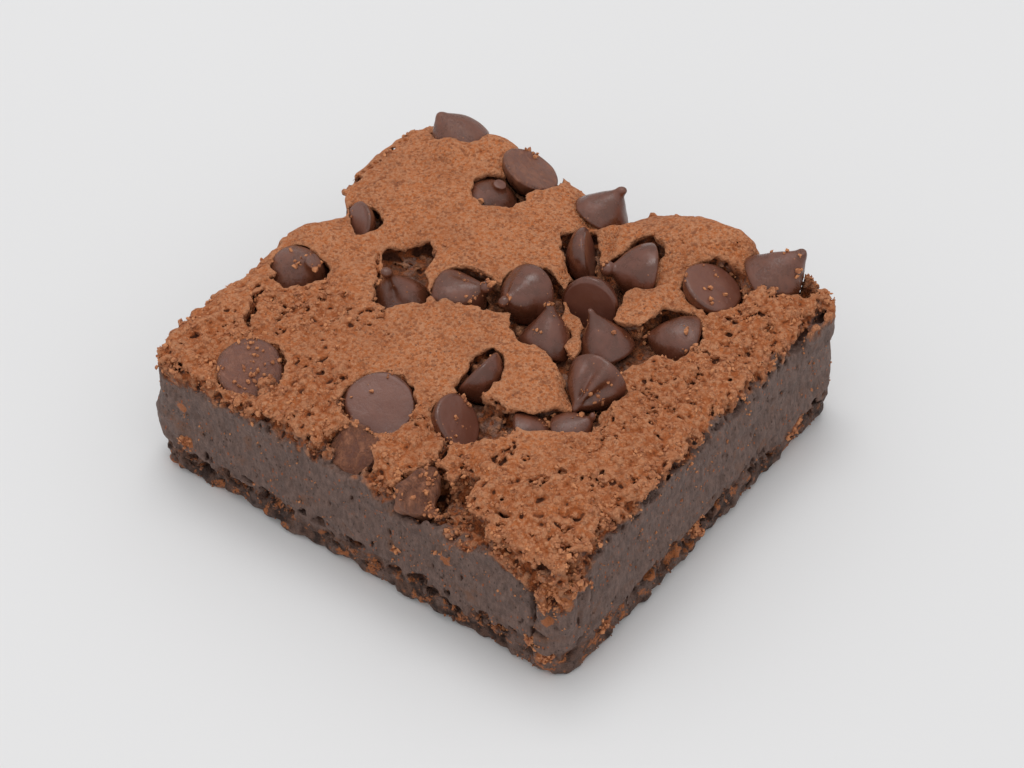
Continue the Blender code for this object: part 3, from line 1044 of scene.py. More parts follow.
@dataclass
class Chip:
    """A chocolate chip: its base's middle, the way its tip points, its size and its own quirks."""

    name: str
    x: float
    y: float
    z: float
    turn: float
    rise: float
    size: float
    curl: float = 0.0
    tip: TipShape = TipShape.POINTED
    bend: float = 0.14
    full: float = 0.9
    creases: tuple[Place, ...] = ()
    uneven: float = 1.0
    roomy: float = 0.0
    smear: float = 0.12
    crumbs: int = 12
    radius: float = 5.0
    height: float = 7.6
    base_up_rise: float = -38.0
    around: int = 64
    piece: bpy.types.Object = field(init=False, default=None)

    @property
    def node(self) -> str:
        """Returns the name of the chip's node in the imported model."""
        return "chip_" + self.name

    @property
    def wide(self) -> float:
        """Returns the half width of the chip's base."""
        return self.radius * self.size

    @property
    def tall(self) -> float:
        """Returns the chip's height."""
        return self.height * self.size

    @property
    def middle(self) -> np.ndarray:
        """Returns the middle of the chip's base."""
        return np.array((self.x, self.y, self.z))

    @property
    def base_up(self) -> bool:
        """Returns whether the chip shows its flat base."""
        return self.rise < self.base_up_rise

    @property
    def turning(self) -> np.ndarray:
        """Joins the chip's roll, tilt and turn.

        Returns:
            The rotation that lays the chip in its place.
        """
        turn = Matrix.Rotation(math.radians(self.turn), 3, "Z")
        tilt = Matrix.Rotation(math.radians(90.0 - self.rise), 3, "Y")
        roll = Matrix.Rotation(math.radians(self.curl), 3, "Z")
        return np.array(turn @ tilt @ roll)

    def width_at(self, share: np.ndarray) -> np.ndarray:
        """Measures the chip's half width.

        Args:
            share: Heights, as shares of the chip's own.

        Returns:
            The half widths there, as shares of the base's.
        """
        neck, knob, end = self.tip.value
        pinch = PINCH_ABOVE_KNOB * end if knob > neck else 0.0
        body = np.clip(share / (1.0 - pinch), 0.0, 1.0)
        taper = (1.0 - body ** (1.3 + 0.5 * self.full)) ** (1.4 - 0.35 * self.full)
        over = np.clip((share - 1.0 + end) / end, -1.0, 1.0)
        ball = knob * np.sqrt(1.0 - over * over) if knob > neck else 0.0
        nub = np.maximum(neck * np.sqrt(1.0 - np.clip(over, 0.0, 1.0) ** 2), ball)
        return -soft_min(-taper, -nub, 0.10) * np.sqrt(np.clip((1.001 - share) / 0.004, 0.0, 1.0))

    def outline(self) -> list[Point]:
        """Draws the half section of the chip.

        Returns:
            Its corners, each with its half width and its height.
        """
        wide, tall = self.wide, self.tall
        corners = [(0.0, 0.0), (wide - 0.6, 0.0), (wide - 0.18, 0.2), (wide, 0.62)]
        for share in (0.2, 0.32, 0.45, 0.58, 0.7, 0.8, 0.88, 0.95, 0.985):
            corners.append((wide * float(self.width_at(np.array(share))), tall * share))
        return corners + [(0.0, tall)]

    def bent(self, z: np.ndarray) -> np.ndarray:
        """Returns how far the chip's middle line is bent aside at heights."""
        return self.bend * self.tall * np.clip(z / self.tall, 0.0, 1.0) ** 3

    def depth_inside(self, places: np.ndarray) -> tuple[np.ndarray, np.ndarray]:
        """Measures how deep points lie in the chip, and in the shaft behind its base.

        Args:
            places: The points, one in each row.

        Returns:
            The depth in the chip and the depth in the shaft, each below 0 outside.
        """
        local = (places - self.middle) @ self.turning
        away = np.hypot(local[:, 0] - self.bent(local[:, 2]), local[:, 1]).astype(np.float32)
        chip = outline_distance(away, local[:, 2].astype(np.float32), self.outline())
        shaft = np.minimum(self.wide - away, 0.6 - local[:, 2])
        return chip, shaft

    def profile(self) -> np.ndarray:
        """Draws the half section that is turned, from the flat base to the tip.

        Returns:
            A row for each ring, with its half width and its height.
        """
        inner = self.wide - BASE_FILLET
        rows = [(inner * share, 0.0) for share in FLAT_RINGS]
        for step in range(1, 5):
            angle = math.pi / 2 * step / 5
            rows.append((inner + BASE_FILLET * math.sin(angle), BASE_FILLET * (1.0 - math.cos(angle))))
        for share in np.concatenate([np.linspace(0.10, 0.80, 20), np.linspace(0.83, 0.995, 14)]):
            rows.append((self.wide * float(self.width_at(share)), self.tall * share))
        return np.array(rows)

    def build(self) -> bpy.types.Object:
        """Builds the chip as a turned form with the marks of its own.

        Returns:
            The chip's piece.
        """
        profile = self.profile()
        angles = np.linspace(0.0, math.tau, self.around, endpoint=False)
        rings = [profile[:, :1] * np.cos(angles), profile[:, :1] * np.sin(angles),
                 np.repeat(profile[:, 1:], self.around, 1)]
        local = np.stack(rings, axis=2).reshape(-1, 3)
        local = np.concatenate([local, [(0.0, 0.0, 0.0), (0.0, 0.0, self.tall)]])
        foot, top = len(local) - 2, len(local) - 1
        flat = np.zeros(len(local))
        flat[:len(FLAT_RINGS) * self.around] = 1.0
        flat[foot] = 1.0
        spokes = np.arange(self.around)
        after = (spokes + 1) % self.around
        faces = []
        for first in range(0, (len(profile) - 1) * self.around, self.around):
            upper = first + self.around
            corners = (first + spokes, first + after, upper + after, upper + spokes)
            faces += np.stack(corners, axis=1).tolist()
        last = (len(profile) - 1) * self.around
        for corners in ((np.full(self.around, foot), after, spokes),
                        (np.full(self.around, top), last + spokes, last + after)):
            faces += np.stack(corners, axis=1).tolist()
        places = np.clip(self.shape(local, flat) @ self.turning.T + self.middle, *ROOM)
        mesh = bpy.data.meshes.new("satin_" + self.node)
        mesh.from_pydata(((places + CUT_CORNER) * MM).tolist(), [], faces)
        mesh.polygons.foreach_set("use_smooth", np.ones(len(faces), bool))
        add_mask(mesh, "flat_base", flat)
        add_mask(mesh, "smear", np.full(len(flat), self.smear))
        self.piece = new_object(mesh.name, mesh)
        return self.piece

    def shape(self, local: np.ndarray, flat: np.ndarray) -> np.ndarray:
        """Gives a turned form its unevenness, its creases and its bend.

        Args:
            local: The form's points, with the base at 0 and the tip up.
            flat: Which points are on the flat base.

        Returns:
            The moved points.
        """
        grain = Grain(sum(ord(letter) for letter in self.name))
        share = np.clip(local[:, 2] / self.tall, 0.0, 1.0)
        away = np.hypot(local[:, 0], local[:, 1])
        out = np.stack([local[:, 0], local[:, 1], np.zeros(len(local))], axis=1)
        out = out / np.maximum(away, 1e-6)[:, None]
        places = local.astype(np.float32) + 7.0
        relief = self.uneven * (0.30 * grain.waves(places, 4.2) + 0.10 * grain.waves(places, 1.9))
        relief += (self.uneven - 1.0) * (0.30 * grain.waves(places, 2.0) + 0.18 * grain.waves(places, 1.0))
        relief = relief * np.clip(away / 1.5, 0.0, 1.0) * (1.0 - 0.6 * flat)
        moved = local + out * relief[:, None]
        crown = 0.10 * (1.0 - (away / 5.0) ** 2)
        moved[:, 2] += flat * (0.16 * self.uneven * grain.waves(places, 3.0) - crown)
        on_flank = blend(share, 0.02, 0.35), 1.0 - blend(share, 0.7, 0.9)
        for angle, width, deep in self.creases:
            turned = np.arctan2(local[:, 1], local[:, 0]) - math.radians(angle)
            turned = np.abs((turned + math.pi) % math.tau - math.pi)
            sunk = deep * np.exp(-(turned / math.radians(width)) ** 2) * on_flank[0] * on_flank[1]
            moved -= out * (sunk * np.clip(away / 2.0, 0.0, 1.0))[:, None]
        moved[:, 0] += self.bent(local[:, 2])
        return moved

    def dress(self, material: bpy.types.Material) -> None:
        """Gives the chip its chocolate and stands it in for its node.

        Args:
            material: The chocolate's material.
        """
        self.piece.data.materials.append(material)
        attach(self.piece, "root")
        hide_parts(self.node)


CHIPS = [
    Chip("far_left_corner", 8.3, 66.8, 21.2, -179, 54, 1.0,
         curl=35, tip=TipShape.BLUNT, bend=0.05, full=1.3, height=7.4, smear=0.25, crumbs=4),
    Chip("back_tilted_disc", 22.6, 66.8, 23.9, -138, -60, 1.0, height=5.6, smear=0.55, crumbs=16),
    Chip("back_in_hole", 20.3, 58.8, 20.9, 18, 71, 0.92,
         tip=TipShape.BROKEN, bend=0.02, full=0.6, height=5.4, crumbs=6),
    Chip("back_standing", 36.8, 65.9, 21.4, 54, 60, 0.94,
         curl=315, tip=TipShape.BLUNT, bend=0.12, full=0.3, height=7.0, crumbs=6),
    Chip("split_edge_on", 41.9, 56.3, 22.4, -147, -14, 0.9, tip=TipShape.BLUNT, full=2.2, height=4.6,
         smear=0.0, crumbs=4),
    Chip("split_curled", 51.9, 57.4, 23.0, -139, 19, 1.0, curl=20, tip=TipShape.CURLED, bend=0.05,
         smear=0.05, crumbs=8),
    Chip("split_leaning_disc", 48.9, 46.3, 23.2, 106, -13, 0.93, smear=0.0, crumbs=4),
    Chip("split_big", 39.8, 43.4, 22.8, -96, 31, 0.95,
         tip=TipShape.KNOBBED, full=1.1, height=7.4, creases=((235.0, 30.0, 0.6),), smear=0.05, crumbs=6),
    Chip("split_half_buried", 30.1, 37.3, 20.8, 6, 43, 1.0,
         curl=80, tip=TipShape.KNOBBED, bend=0.2, full=0.6, creases=((70.0, 20.0, 0.7),), crumbs=40),
    Chip("middle_standing", 47.5, 36.8, 20.5, 87, 61, 0.84,
         curl=120, tip=TipShape.BLUNT, bend=0.22, full=0.8, height=8.8, smear=0.05, crumbs=24),
    Chip("right_standing", 55.1, 41.9, 20.4, 172, 71, 0.92,
         full=0.5, height=8.0, creases=((160.0, 30.0, 0.5),), smear=0.05, crumbs=8),
    Chip("split_folded", 59.8, 34.0, 23.6, -86, 3, 0.96, creases=((120.0, 22.0, 1.1), (180.0, 19.0, 1.3)),
         smear=0.1, crumbs=30),
    Chip("right_lying", 64.7, 50.2, 20.6, -148, 24, 0.88, full=1.5, crumbs=12),
    Chip("right_tilted_disc", 62.7, 59.3, 25.0, -156, -63, 0.97, crumbs=30),
    Chip("back_right_lying", 67.8, 65.7, 22.8, 40, 42, 1.02,
         curl=180, tip=TipShape.BLUNT, full=1.0, height=8.8, creases=((300.0, 26.0, 0.9),),
         smear=0.15, crumbs=26),
    Chip("left_edge_on", 7.0, 40.9, 22.4, 59, -30, 0.77, height=5.6, crumbs=4),
    Chip("left_in_hole", 6.4, 28.0, 20.4, -4, 56, 1.0,
         tip=TipShape.BROKEN, bend=0.02, full=0.6, height=6.4, smear=0.2, crumbs=30),
    Chip("left_hollow", 22.6, 32.4, 20.2, -133, 80, 0.98,
         tip=TipShape.KNOBBED, bend=0.05, full=0.3, creases=((90.0, 24.0, 1.1),), crumbs=18),
    Chip("front_left_disc", 15.8, 6.3, 22.6, 149, -62, 1.0, smear=0.4, crumbs=90),
    Chip("front_flat_disc", 36.2, 11.7, 22.6, 129, -62, 1.04, crumbs=18),
    Chip("front_cut", 38.3, 2.8, 20.6, 92, -42, 0.8, uneven=3.2, smear=1.0, crumbs=16),
    Chip("middle_on_edge", 43.7, 24.7, 23.2, 2, -32, 0.9, smear=0.0, crumbs=8),
    Chip("middle_tilted_disc", 48.0, 15.7, 22.8, -164, -40, 0.84, smear=0.05, crumbs=26),
    Chip("low_oval", 55.3, 19.9, 20.4, 38, 10, 0.76, full=1.4, crumbs=14),
    Chip("low_knobbed", 61.3, 24.0, 20.1, 42, 43, 0.8, curl=180, tip=TipShape.KNOBBED, full=1.1, crumbs=12),
    Chip("front_broken", 49.8, 3.3, 19.4, -20, 7, 0.8, tip=TipShape.KNOBBED, full=1.3,
         creases=((70.0, 26.0, 1.0), (190.0, 30.0, 1.1), (320.0, 20.0, 0.8)), uneven=3.0, roomy=0.7,
         smear=1.0, crumbs=60),
]


@dataclass
class BrownieBody:
    """The brownie without its chips: crust, cut sides and base, in an upper and a lower piece."""

    chips: list[Chip]
    width: float = 78.0
    depth: float = 70.0
    corner_radius: float = 3.6
    edge_height: float = 22.8
    dome_rise: float = 0.7
    dome_reach: float = 30.0
    shoulder_width: float = 4.5
    shoulder_drop: float = 1.0
    band_height: float = 6.5
    split_half_width: float = 4.2
    split_sag: float = 1.3
    chip_gap: float = 0.12
    crumbly_reach: Point = (8.0, 22.0)
    least_crumbly: float = 0.12
    lump_sizes: Point = (3.3, 1.6)
    lump_height: float = 0.23
    crust_line_height: float = 20.3
    band_line_height: float = 5.4
    crease_height: float = 4.9
    edge_rounding: float = 0.9
    side_shares: tuple[float, ...] = (0.27, 0.23, 0.27, 0.23)
    hold: float = -0.15
    plate_edge: float = 2.6
    shaft_gap: float = 0.25
    torn_depth: float = 1.05
    thickest_lump: float = 1.6
    lumps_in_tuft: int = 14
    underside_gap: float = 0.02
    relief_reach: float = 1.3
    corner_clearance: float = 1.6
    crack_heights: Point = (19.0, 29.0)
    front_break: Point = (50.0, 58.0)
    front_break_depth: float = 1.5
    corner_break_depth: float = 3.4
    crust_line_waver: float = 1.3
    band_line_waver: float = 1.5
    hollow_reaches: Point = (0.6, 1.8)
    base_hollows: tuple[int, float, float, float] = (170, 2.6, 6.8, -0.2)
    pores: tuple[int, float, float, float] = (300, 6.0, 22.5, -0.5)
    most_faces: int = 388_000
    reach_limits: tuple[Point, ...] = ((-1.78, 79.75), (-1.25, 71.2))
    block: Block = field(init=False, default_factory=Block)
    maps: dict[str, np.ndarray] = field(init=False, default_factory=dict)
    whole: bpy.types.Mesh = field(init=False, default=None)
    pieces: list[bpy.types.Object] = field(init=False, default_factory=list)

    split_line = ((38.0, 74.0), (40.0, 61.0), (44.5, 50.0), (49.0, 42.0), (56.0, 35.0), (63.0, 26.0))
    lean = (
        (0.0, -0.3), (1.2, 0.3), (3.5, 0.5), (6.5, 0.8), (9.0, 0.8), (14.0, 0.5), (18.0, 0.3), (23.0, 0.2),
    )
    zone_maps = ("crust", "inside", "crust_line", "band_line")
    crumbly_patch = Swell(14.0, 20.0, 14.0, 9.0, 0, 1.0)
    swells = (
        Swell(56.7, 68.5, 9.2, 7.5, 0, 4.7), Swell(12.0, 64.0, 9.0, 7.0, 0, 1.0),
        Swell(22.0, 50.0, 13.0, 8.0, 0, 0.7), Swell(44.0, 28.0, 11.0, 8.0, -15, 0.6),
        Swell(57.5, 51.0, 3.6, 6.5, 0, 1.0), Swell(71.0, 60.0, 5.0, 6.0, 0, 1.2),
        Swell(69.0, 18.0, 9.0, 12.0, 0, 0.8), Swell(3.5, 69.0, 4.0, 3.5, 0, -1.8),
        Swell(15.0, 69.0, 4.0, 4.0, 0, 1.4), Swell(30.0, 70.5, 4.5, 4.5, 0, -1.4),
        Swell(38.5, 70.0, 5.0, 7.0, 0, -4.0), Swell(73.5, 69.2, 4.0, 3.2, 0, 2.2),
        Swell(67.0, 71.2, 3.2, 3.2, 0, -3.2), Swell(39.0, -2.0, 50.0, 5.0, 0, -0.9),
        Swell(19.5, 38.5, 3.6, 6.0, 25, -2.4), Swell(6.0, 41.5, 5.0, 4.0, 0, -1.0),
        Swell(8.0, 27.5, 5.0, 4.5, 0, -0.8), Swell(15.0, 4.5, 6.0, 5.0, 0, -0.8),
        Swell(55.5, -0.5, 6.5, 5.0, 0, -2.6), Swell(9.6, 62.6, 3.2, 2.6, 0, 1.5),
        Swell(41.5, 63.0, 3.6, 2.6, 0, 2.2), Swell(62.0, 69.5, 3.2, 3.0, 0, 1.5),
        Swell(70.0, 63.0, 2.4, 1.6, 0, 1.4),
    )
    dents = (
        Dent(Side.LEFT, 41.0, 22.0, 4.4, 13.0, 4.6), Dent(Side.LEFT, 24.0, 20.0, 4.0, 10.0, 1.6),
        Dent(Side.LEFT, 4.0, 20.0, 4.0, 9.0, 1.6), Dent(Side.LEFT, 8.0, 8.5, 20.0, 4.5, -1.2),
        Dent(Side.LEFT, 57.0, 22.0, 9.0, 12.0, -1.2), Dent(Side.RIGHT, 66.0, 21.0, 7.0, 6.0, -1.4),
        Dent(Side.RIGHT, 66.0, 8.0, 8.0, 5.0, -0.6), Dent(Side.RIGHT, 40.5, 24.5, 2.2, 2.6, 1.8),
        Dent(Side.RIGHT, 58.0, 23.5, 2.0, 3.0, 1.4), Dent(Side.BACK, 38.5, 22.0, 5.0, 8.0, 1.6),
    )
    openings = (
        Opening(20.4, (
            (40.3, 60.3), (38.6, 61.4), (36.9, 60.0), (36.2, 56.5), (38.0, 53.5), (42.6, 50.0), (43.4, 47.6),
            (39.0, 48.7), (35.8, 47.4), (35.1, 44.0), (35.6, 41.6), (30.5, 42.2), (27.4, 41.0), (26.7, 38.0),
            (27.4, 35.0), (29.6, 32.8), (35.5, 34.8), (41.0, 36.6), (42.8, 34.2), (45.5, 32.6), (50.0, 33.2),
            (54.5, 31.6), (59.8, 26.7), (58.0, 24.9), (56.9, 22.2), (52.6, 20.8), (53.4, 18.3), (57.4, 17.8),
            (60.0, 20.0), (64.6, 22.4), (65.3, 24.6), (64.1, 29.0), (64.7, 32.0), (62.3, 37.2), (63.0, 41.4),
            (66.8, 45.2), (67.8, 47.0), (65.3, 52.1), (63.0, 53.6), (59.4, 51.2), (58.3, 46.0), (54.6, 44.8),
            (52.4, 50.0), (53.4, 58.6), (51.4, 62.4), (48.4, 63.9), (46.3, 62.0), (45.9, 57.0), (44.3, 55.9),
        )),
        Opening(20.8, (
            (17.4, 61.6), (16.7, 58.6), (19.4, 54.9), (22.0, 54.6), (26.2, 57.0), (26.5, 63.0), (22.0, 63.4),
        )),
        Opening(20.6, (
            (15.1, 38.6), (15.6, 36.6), (18.4, 34.0), (19.9, 30.0), (22.0, 27.2), (25.0, 27.4), (28.9, 31.6),
            (28.2, 33.4), (24.2, 37.8), (22.6, 42.0), (20.2, 43.6), (17.4, 41.6),
        )),
        Opening(20.2, (
            (3.2, 28.2), (3.2, 25.6), (6.0, 22.5), (9.0, 22.4), (12.4, 26.4), (11.6, 29.6), (7.6, 31.2),
        )),
        Opening(21.0, (
            (43.6, 29.3), (42.8, 26.4), (43.6, 19.4), (45.4, 18.7), (48.6, 18.7), (48.8, 24.6), (45.8, 29.0),
        )),
        Opening(20.6, ((3.9, 43.4), (6.2, 40.8), (9.9, 37.8), (11.2, 40.2), (11.3, 43.6), (7.0, 45.1))),
        Opening(18.6, (
            (47.6, 3.2), (48.0, -3.0), (59.0, -3.0), (63.6, -1.0), (63.8, 2.4), (58.6, 3.8), (57.6, 7.6),
            (55.7, 7.6), (54.9, 5.2), (51.6, 6.7),
        )),
        Opening(21.4, ((72.4, 67.8), (74.6, 65.4), (76.4, 67.4), (74.4, 69.0))),
    )
    standing_plate = (
        (45.3, 44.9), (47.6, 41.0), (50.8, 37.2), (53.8, 35.6), (52.6, 39.0), (51.4, 42.2), (48.2, 43.4),
    )
    cracks = (
        Crack(((6.4, 19.8), (6.2, 17.8), (7.9, 16.0), (8.4, 13.8), (10.4, 12.2)), 0.6, 2.0),
        Crack(((41.6, 11.6), (44.6, 12.6)), 0.5, 2.0),
        Crack(((50.0, 10.4), (50.8, 8.0), (50.8, 6.0)), 0.8, 2.6),
        Crack(((62.0, 3.4), (65.4, 4.6)), 0.5, 1.2),
        Crack(((15.2, 36.5), (17.0, 34.5), (19.3, 32.0)), 0.5, 2.0),
        Crack(((67.0, 15.0), (66.4, 12.6), (66.0, 10.5)), 0.5, 1.4),
    )
    base_lumps = ((1.0, 2.2, 140, 4.2), (2.6, 4.4, 110, 3.2), (5.2, 7.6, 60, 2.4), (2.0, 6.4, 320, 0.8))
    black_hollows = (
        (15.0, -0.2, 5.0), (18.4, -0.2, 4.4), (26.5, -0.2, 5.3), (39.5, -0.2, 5.0), (48.0, -0.2, 5.4),
        (66.0, -0.2, 4.4), (78.2, 14.0, 5.8), (78.2, 26.0, 6.0), (78.2, 47.0, 6.2),
    )
    edge_breaks = (
        (20.0, 22.8, 170, 1.8, True), (22.4, 24.6, 80, 1.8, True), (19.6, 23.6, 340, 0.9, False),
        (20.0, 23.2, 520, 0.75, True),
    )
    over_rims = (
        (19.7, 5.8, 21.6, 1.3, 1.6, 1.1), (20.4, 4.0, 21.4, 1.4, 1.5, 1.2),
        (18.9, 2.5, 21.0, 1.6, 1.3, 1.1), (16.4, 1.6, 20.7, 1.8, 1.0, 1.0),
        (41.9, 22.0, 22.4, 0.9, 0.9, 0.7), (42.3, 23.8, 22.5, 0.9, 1.1, 0.8),
        (42.9, 25.6, 22.6, 0.9, 1.1, 0.8), (43.6, 27.4, 22.7, 0.9, 1.1, 0.8),
        (36.4, 0.4, 18.3, 1.5, 0.9, 1.1), (38.4, 0.2, 17.9, 1.4, 0.9, 1.2),
        (40.4, 0.5, 18.4, 1.5, 0.9, 1.1), (35.0, 1.0, 20.0, 0.9, 1.0, 1.4),
        (42.0, 1.2, 20.2, 0.8, 1.0, 1.3), (48.6, 0.0, 16.4, 1.5, 0.9, 1.0),
        (51.4, -0.2, 16.8, 1.6, 0.9, 1.1),
    )
    undercuts = (
        (50.6, 6.0, 20.3, 3.6, 1.5, 1.4), (55.6, 3.8, 20.2, 1.7, 2.2, 1.7), (46.9, 2.6, 20.2, 0.8, 1.3, 1.7),
        (57.4, 2.0, 19.6, 1.3, 1.6, 1.2), (60.6, 0.8, 19.8, 1.2, 1.2, 0.9),
    )
    lip_over_flat_disc = ((46.0, 9.0), (42.6, 11.4), (39.2, 3.8), (42.0, 0.0), (50.0, 0.0))
    corner_folds = (
        (74.8, 0.0, 15.2, 1.3, 1.2, 6.2), (77.6, 1.4, 14.6, 1.5, 1.6, 6.0), (72.2, 0.1, 18.0, 0.9, 0.9, 3.2),
        (78.4, 4.6, 15.6, 0.9, 0.8, 4.6),
    )
    toasted_spots = (
        (7.0, -0.5, 15.0, 1.3), (7.0, -0.5, 7.5, 1.6), (48.0, -0.5, 9.5, 1.1), (58.0, -0.5, 14.0, 1.6),
        (66.0, -0.5, 4.6, 1.5), (78.4, 10.0, 4.0, 1.7), (78.4, 20.5, 5.5, 1.7), (78.4, 32.5, 4.6, 2.2),
        (78.4, 59.0, 4.8, 2.6), (75.6, -0.5, 12.6, 1.3), (75.2, -0.2, 15.5, 1.5), (77.6, 0.8, 17.0, 1.8),
        (75.8, 0.0, 19.0, 2.0), (78.2, 2.8, 18.6, 1.8), (72.8, -0.4, 6.4, 1.5), (74.6, -0.4, 4.2, 1.6),
    )
    corner_grooves = (
        (76.3, -1.3, 14.4, 0.7, 1.9, 6.4), (73.3, -1.3, 13.8, 0.6, 1.8, 5.6),
        (79.6, 3.2, 14.0, 1.7, 0.6, 5.6), (74.4, -1.3, 9.2, 2.0, 1.6, 0.7),
        (71.0, -1.2, 17.6, 0.6, 1.5, 3.0), (79.4, 5.9, 14.6, 1.3, 0.5, 4.0),
        (74.6, 0.6, 21.6, 1.2, 1.3, 1.0), (76.6, 2.8, 21.3, 1.2, 1.1, 1.1),
        (75.2, 0.0, 19.7, 0.9, 0.8, 0.7), (77.7, 2.0, 19.6, 0.8, 0.9, 0.8),
        (72.0, 0.3, 20.9, 1.2, 0.9, 0.8), (77.6, 5.4, 21.9, 0.9, 1.4, 0.9),
        (75.8, 4.2, 23.3, 0.9, 0.8, 0.7),
    )

    def lay_out(self) -> None:
        """Draws the maps of the plan: the crust's height, the outline, and where each zone starts."""
        x, y = np.meshgrid(self.block.axes[0], self.block.axes[1], indexing="ij")
        half_x, half_y = self.width / 2, self.depth / 2
        over_x = np.abs(x - half_x) - (half_x - self.corner_radius)
        over_y = np.abs(y - half_y) - (half_y - self.corner_radius)
        outside = np.hypot(np.maximum(over_x, 0.0), np.maximum(over_y, 0.0))
        inside = self.corner_radius - outside - np.minimum(np.maximum(over_x, over_y), 0.0)
        facing_x = np.where(over_x > over_y, 1.0, 0.0)
        corner = (over_x > 0.0) & (over_y > 0.0)
        facing_x = np.where(corner, (over_x / np.maximum(outside, 1e-6)) ** 2, facing_x)
        self.maps.update(x=x, y=y, inside=inside, facing_x=facing_x)
        edge = 1.0 - blend(np.minimum(y, self.width - x), *self.crumbly_reach)
        crumbly = np.maximum(np.maximum(self.least_crumbly, edge), self.crumbly_patch.height(x, y))
        self.maps["crumbly"] = crumbly
        held = np.maximum(inside, 0.0)
        height = self.edge_height + self.shoulder_drop + blend(held, 0.0, self.dome_reach) * self.dome_rise
        height = height - np.maximum(0.0, 1.0 - held / self.shoulder_width) ** 2 * self.shoulder_drop
        for swell in self.swells:
            height = height + swell.height(x, y)
        away = path_distance(x, y, self.split_line)
        sagging = 1.0 - blend(away, self.split_half_width / 2, self.split_half_width)
        height = height - self.split_sag * sagging
        lumps = np.zeros(x.size, np.float32)
        for size in self.lump_sizes:
            spots = zip((x / size).ravel().tolist(), (y / size).ravel().tolist())
            lumps += np.array([noise.noise((u, v, size)) for u, v in spots], np.float32) * size
        height = height + self.lump_height * np.maximum(crumbly, 0.25) * lumps.reshape(x.shape)
        self.maps["crust"] = height.astype(np.float32)
        grain = Grain(Seed.PLAN)
        flat = np.stack([x.ravel(), y.ravel(), np.zeros(x.size)], axis=1).astype(np.float32)
        ragged = (grain.waves(flat, 5.0) + 0.6 * grain.waves(flat, 1.8)).reshape(x.shape)
        near_corner = np.exp(-((self.width - x) ** 2 + y * y) / 32.0)
        on_front = blend(x, *self.front_break)
        broken = self.front_break_depth * on_front * (y < half_y) * (1.0 - facing_x)
        broken = broken + self.corner_break_depth * near_corner
        higher_right = facing_x * (x > half_x)
        waver = self.crust_line_waver * ragged
        self.maps["crust_line"] = self.crust_line_height + waver + higher_right - broken
        self.maps["band_line"] = self.band_line_height + self.band_line_waver * ragged

    def side_reach(self, side: Side) -> np.ndarray:
        """Draws how far a side stands out, over the places along it and the heights.

        Args:
            side: The side.

        Returns:
            The reach, with a row for each place and a column for each height.
        """
        axis, way = side.value
        places = self.block.axes[axis]
        heights = self.block.axes[2]
        stem = np.interp(heights, *zip(*self.lean))
        band = 1.0 - blend(heights, self.band_height - 1.2, self.band_height + 1.2)
        fixed = (self.depth if axis == 0 else self.width) * (way > 0)
        rows = []
        deep = []
        for place in places.tolist():
            x, y = (place, fixed) if axis == 0 else (fixed, place)
            rows.append([noise.noise((x / 3.6, y / 3.6, z * 1.6 / 3.6)) for z in heights.tolist()])
            deep.append(noise.noise((x / 5.5, y / 5.5, 40.0)))
        crease = np.exp(-((heights - self.crease_height) / 0.9) ** 2)[None, :]
        crease = crease * (0.40 + 0.9 * np.array(deep))[:, None]
        reach = stem + (0.35 + 0.45 * band) * np.array(rows) - np.clip(crease, 0.0, None) - 0.1 * band
        for dent in self.dents:
            if dent.side is side:
                along = ((places - dent.place) / dent.along)[:, None]
                up = ((heights - dent.height) / dent.up)[None, :]
                reach = reach - dent.depth * np.exp(-along * along - up * up)
        return reach.astype(np.float32)

    def fill(self) -> None:
        """Fills the block with the plain square: crust, leaning sides and flat underside."""
        maps = self.maps
        reach = {side: self.side_reach(side) for side in Side}
        columns_x = np.where((maps["x"] > self.width / 2)[:, :, None],
                             reach[Side.RIGHT][None, :, :], reach[Side.LEFT][None, :, :])
        columns_y = np.where((maps["y"] > self.depth / 2)[:, :, None],
                             reach[Side.BACK][:, None, :], reach[Side.FRONT][:, None, :])
        share = maps["facing_x"][:, :, None].astype(np.float32)
        sides = maps["inside"][:, :, None].astype(np.float32) + share * columns_x + (1.0 - share) * columns_y
        heights = self.block.axes[2][None, None, :]
        top = maps["crust"][:, :, None] - heights
        depth = soft_min(top, sides, self.edge_rounding)
        depth = soft_min(depth, np.broadcast_to(heights, depth.shape), self.edge_rounding)
        self.block.depth = depth.astype(np.float32)

    def roll(self, spots: np.ndarray, radii: np.ndarray) -> None:
        """Rolls lumps onto the crumb, but none where they would hang free.

        Args:
            spots: The lumps' middles, one in each row.
            radii: Their half widths along the axes.
        """
        cells = np.round((spots - np.array(self.block.low)) / self.block.cell).astype(int)
        cells = np.clip(cells, 0, np.array(self.block.depth.shape) - 1)
        held = self.block.depth[tuple(cells.T)] > self.hold
        self.block.stamp(spots[held], radii[held], hollow=False)

    def edge_spots(self, random: np.random.Generator, count: int, low: float, high: float,
                   sunk: np.ndarray | float) -> tuple[np.ndarray, np.ndarray]:
        """Draws places scattered round the four sides.

        Args:
            random: The draw.
            count: How many places.
            low: Their lowest height.
            high: Their greatest height.
            sunk: How far they lie inside the square.

        Returns:
            The places, and for each whether it is on a side that faces along X.
        """
        side = random.choice(4, count, p=self.side_shares)
        along = random.uniform(0.03, 0.97, count)
        height = low + (high - low) * random.random(count)
        facing_x = side % 2 == 1
        far = (side == 1) | (side == 2)
        x = np.where(facing_x, np.where(far, self.width - sunk, sunk), along * self.width)
        y = np.where(facing_x, along * self.depth, np.where(far, self.depth - sunk, sunk))
        return np.stack([x, y, height], axis=1), facing_x

